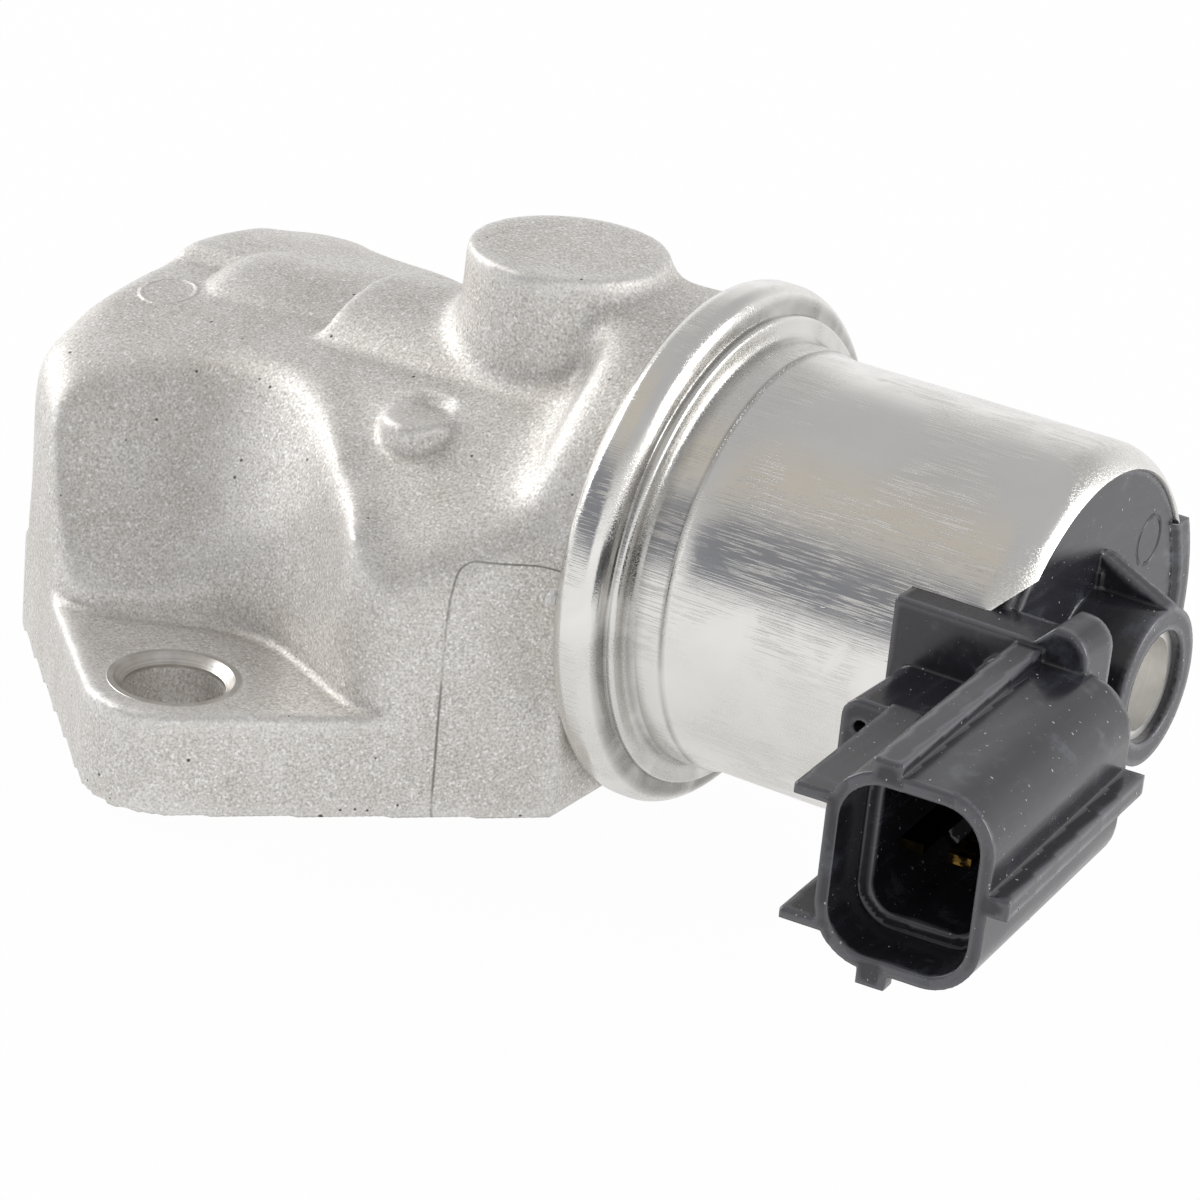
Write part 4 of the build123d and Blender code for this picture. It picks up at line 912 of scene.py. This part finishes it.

# Terminals
# Two blades are punched from brass strip and tin plated. They stand deep in the socket.
# Tinned brass in painted shade: nearly black where the blades stand deep in the socket, with a painted glint
# as a paler patch on one blade.
for node, painted_shade_tone, painted_glint_tone in (
        ("terminal_left", "#0B0803", "#171106"), ("terminal_right", "#0E0A04", "#7A6030")):
    blade_finish, tree, shader, where = new_material("tarnished_tin_plated_brass_" + node)
    plate = put(tree, "ShaderNodeTexNoise", {"Vector": where, "Scale": 1 / (0.9 * MM), "Detail": 3.0})
    # Painted glint: a paler patch picked by noise, bright only on the right blade
    paler_share = put(tree, "ShaderNodeMapRange", {"Value": plate, "From Min": 0.48, "From Max": 0.62})
    blade_tone = mix(tree, paler_share, ink(painted_shade_tone), ink(painted_glint_tone))
    blade_gloss = put(tree, "ShaderNodeMapRange", {"Value": plate, "To Min": 0.3, "To Max": 0.5})
    join(tree, shader, {"Base Color": blade_tone, "Metallic": 1.0, "Roughness": blade_gloss})
    finish_node(node, blade_finish)

# Studio
# A pale floor touches the bead and the flange's far edge, the two places that the part rests on.
# A soft box of light stands at each side, cards shade the front, and the room overhead is a soft grey.
CONTACT_LOW = Vector((31.9 * MM, 0.0, -2.9 * MM))
CONTACT_FAR = Vector((-30.2 * MM, 0.0, 0.0))
FLOOR_REACH = 6.0
FLOOR_GLOW = 0.97
FLOOR_MIRROR_GLOW = 0.65
lie = (CONTACT_FAR - CONTACT_LOW).normalized()
side = Vector((0.0, 1.0, 0.0))
floor_mesh = bpy.data.meshes.new("floor")
corners = [
    CONTACT_LOW + lie * a * FLOOR_REACH + side * b * FLOOR_REACH
    for a, b in ((1, -1), (-1, -1), (-1, 1), (1, 1))]
floor_mesh.from_pydata(corners, [], [(0, 1, 2, 3)])
floor = bpy.data.objects.new("floor", floor_mesh)
bpy.context.scene.collection.objects.link(floor)
floor_finish = bpy.data.materials.new("matt_white_paper")
floor_finish.use_nodes = True
tree = floor_finish.node_tree
shader = tree.nodes["Principled BSDF"]
join(tree, shader, {"Base Color": ink("#F4F4F3"), "Roughness": 0.9})
path = put(tree, "ShaderNodeLightPath")
mirrored = maths(tree, "MAXIMUM", path.outputs["Is Glossy Ray"], path.outputs["Is Transmission Ray"])
mirrored = maths(tree, "MULTIPLY", mirrored, FLOOR_MIRROR_GLOW)
direct = maths(tree, "MULTIPLY", path.outputs["Is Camera Ray"], FLOOR_GLOW)
share = maths(tree, "MAXIMUM", direct, mirrored)
glow = put(tree, "ShaderNodeEmission", {"Color": (1.0, 1.0, 1.0, 1.0), "Strength": 1.0})
blend = put(tree, "ShaderNodeMixShader", {0: share, 1: shader, 2: glow})
join(tree, tree.nodes["Material Output"], {"Surface": blend})
floor_mesh.materials.append(floor_finish)

# The room: white at the horizon, grey overhead
world = bpy.data.worlds.new("studio")
world.use_nodes = True
bpy.context.scene.world = world
tree = world.node_tree
way = put(tree, "ShaderNodeTexCoord").outputs["Generated"]
rise = put(tree, "ShaderNodeSeparateXYZ", {"Vector": way})
sky = put(tree, "ShaderNodeValToRGB", {"Fac": rise.outputs["Z"]})
sky.color_ramp.elements[0].position = 0.0
sky.color_ramp.elements[0].color = (1.0, 1.0, 1.0, 1.0)
sky.color_ramp.elements[1].position = 1.0
sky.color_ramp.elements[1].color = (0.5, 0.5, 0.51, 1.0)
for position, value in ((0.22, 0.98), (0.38, 0.86), (0.5, 0.72), (0.64, 0.52)):
    step = sky.color_ramp.elements.new(position)
    step.color = (value, value, value, 1.0)
join(tree, tree.nodes["Background"], {"Color": sky})

# Cards that only reflections and fill light see, with soft edges
CARD_DISTANCE = 0.9
CARD_AIM = Vector((0.04, 0.0, 0.02))


def card(name, azimuth, elevation, width, tall, colour, soft):
    """A flat card that faces the object, placed by its direction. Its edges fade over a share of it."""
    a, e = math.radians(azimuth), math.radians(elevation)
    out = Vector((math.sin(a) * math.cos(e), -math.cos(a) * math.cos(e), math.sin(e)))
    across = Vector((math.cos(a), math.sin(a), 0.0))
    up = out.cross(across)
    middle = CARD_AIM + out * CARD_DISTANCE
    half_w = CARD_DISTANCE * math.tan(math.radians(width / 2))
    half_t = CARD_DISTANCE * math.tan(math.radians(tall / 2))
    mesh = bpy.data.meshes.new(name)
    mesh.from_pydata(
        [middle + across * x * half_w + up * y * half_t for x, y in ((-1, -1), (1, -1), (1, 1), (-1, 1))],
        [], [(0, 1, 2, 3)])
    mesh.uv_layers.new(name="sheet")
    for loop, spot in zip(mesh.uv_layers["sheet"].data, ((0, 0), (1, 0), (1, 1), (0, 1))):
        loop.uv = spot
    paper = bpy.data.materials.new(name + "_paper")
    paper.use_nodes = True
    tree = paper.node_tree
    tree.nodes.clear()
    spot = put(tree, "ShaderNodeSeparateXYZ", {"Vector": put(tree, "ShaderNodeTexCoord").outputs["UV"]})
    nearest = None
    for axis in ("X", "Y"):
        off = maths(tree, "SUBTRACT", spot.outputs[axis], 0.5)
        off = maths(tree, "ABSOLUTE", off)
        fall = put(tree, "ShaderNodeMapRange", {
            "Value": off, "From Min": 0.5 - soft, "From Max": 0.5, "To Min": 1.0, "To Max": 0.0},
            interpolation_type="SMOOTHSTEP")
        nearest = fall if nearest is None else maths(tree, "MULTIPLY", nearest, fall)
    light = put(tree, "ShaderNodeEmission", {"Color": ink(colour), "Strength": 1.0})
    clear = put(tree, "ShaderNodeBsdfTransparent")
    sheet = put(tree, "ShaderNodeMixShader", {0: nearest, 1: clear, 2: light})
    put(tree, "ShaderNodeOutputMaterial", {"Surface": sheet})
    mesh.materials.append(paper)
    piece = bpy.data.objects.new(name, mesh)
    bpy.context.scene.collection.objects.link(piece)
    piece.visible_camera = False
    piece.visible_shadow = False


card("grey_card_front_left", -36, 21, 84, 40, "#85878D", 0.16)
card("buff_card_high_left", -46, 57, 88, 44, "#C4BEB4", 0.5)

SOFTBOX_SIZE = 0.5
SOFTBOX_WATTS = 3.0
SOFTBOX_AIM = Vector((0.0, 0.0, 0.02))
for name, place in (("left_softbox", (-0.75, -0.12, 0.42)), ("right_softbox", (0.72, 0.3, 0.34))):
    lamp = bpy.data.lights.new(name, "AREA")
    lamp.shape = "SQUARE"
    lamp.size = SOFTBOX_SIZE
    lamp.energy = SOFTBOX_WATTS
    softbox = bpy.data.objects.new(name, lamp)
    bpy.context.scene.collection.objects.link(softbox)
    softbox.location = place
    aim = SOFTBOX_AIM - softbox.location
    softbox.rotation_euler = aim.to_track_quat("-Z", "Y").to_euler()

# Camera
# It stands where the photograph was taken from, to the right and above, turned a little about its own line.
eye = Vector((201.031, -305.101, 165.569)) * MM
azimuth, elevation, roll = math.radians(30.598), math.radians(23.443), math.radians(5.6603)
level = math.cos(elevation)
back = Vector((math.sin(azimuth) * level, -math.cos(azimuth) * level, math.sin(elevation)))
right = Vector((math.cos(azimuth), math.sin(azimuth), 0.0))
up = back.cross(right)
axis_x = right * math.cos(roll) + up * math.sin(roll)
axis_y = up * math.cos(roll) - right * math.sin(roll)
view = bpy.data.cameras.new("camera")
view.sensor_width = 36.0
view.sensor_fit = "HORIZONTAL"
view.lens = 127.5
view.clip_start = 0.01
camera = bpy.data.objects.new("camera", view)
bpy.context.scene.collection.objects.link(camera)
turn = Matrix((axis_x, axis_y, back)).transposed().to_4x4()
camera.matrix_world = Matrix.Translation(eye) @ turn
bpy.context.scene.camera = camera
bpy.context.scene.view_settings.view_transform = "Standard"
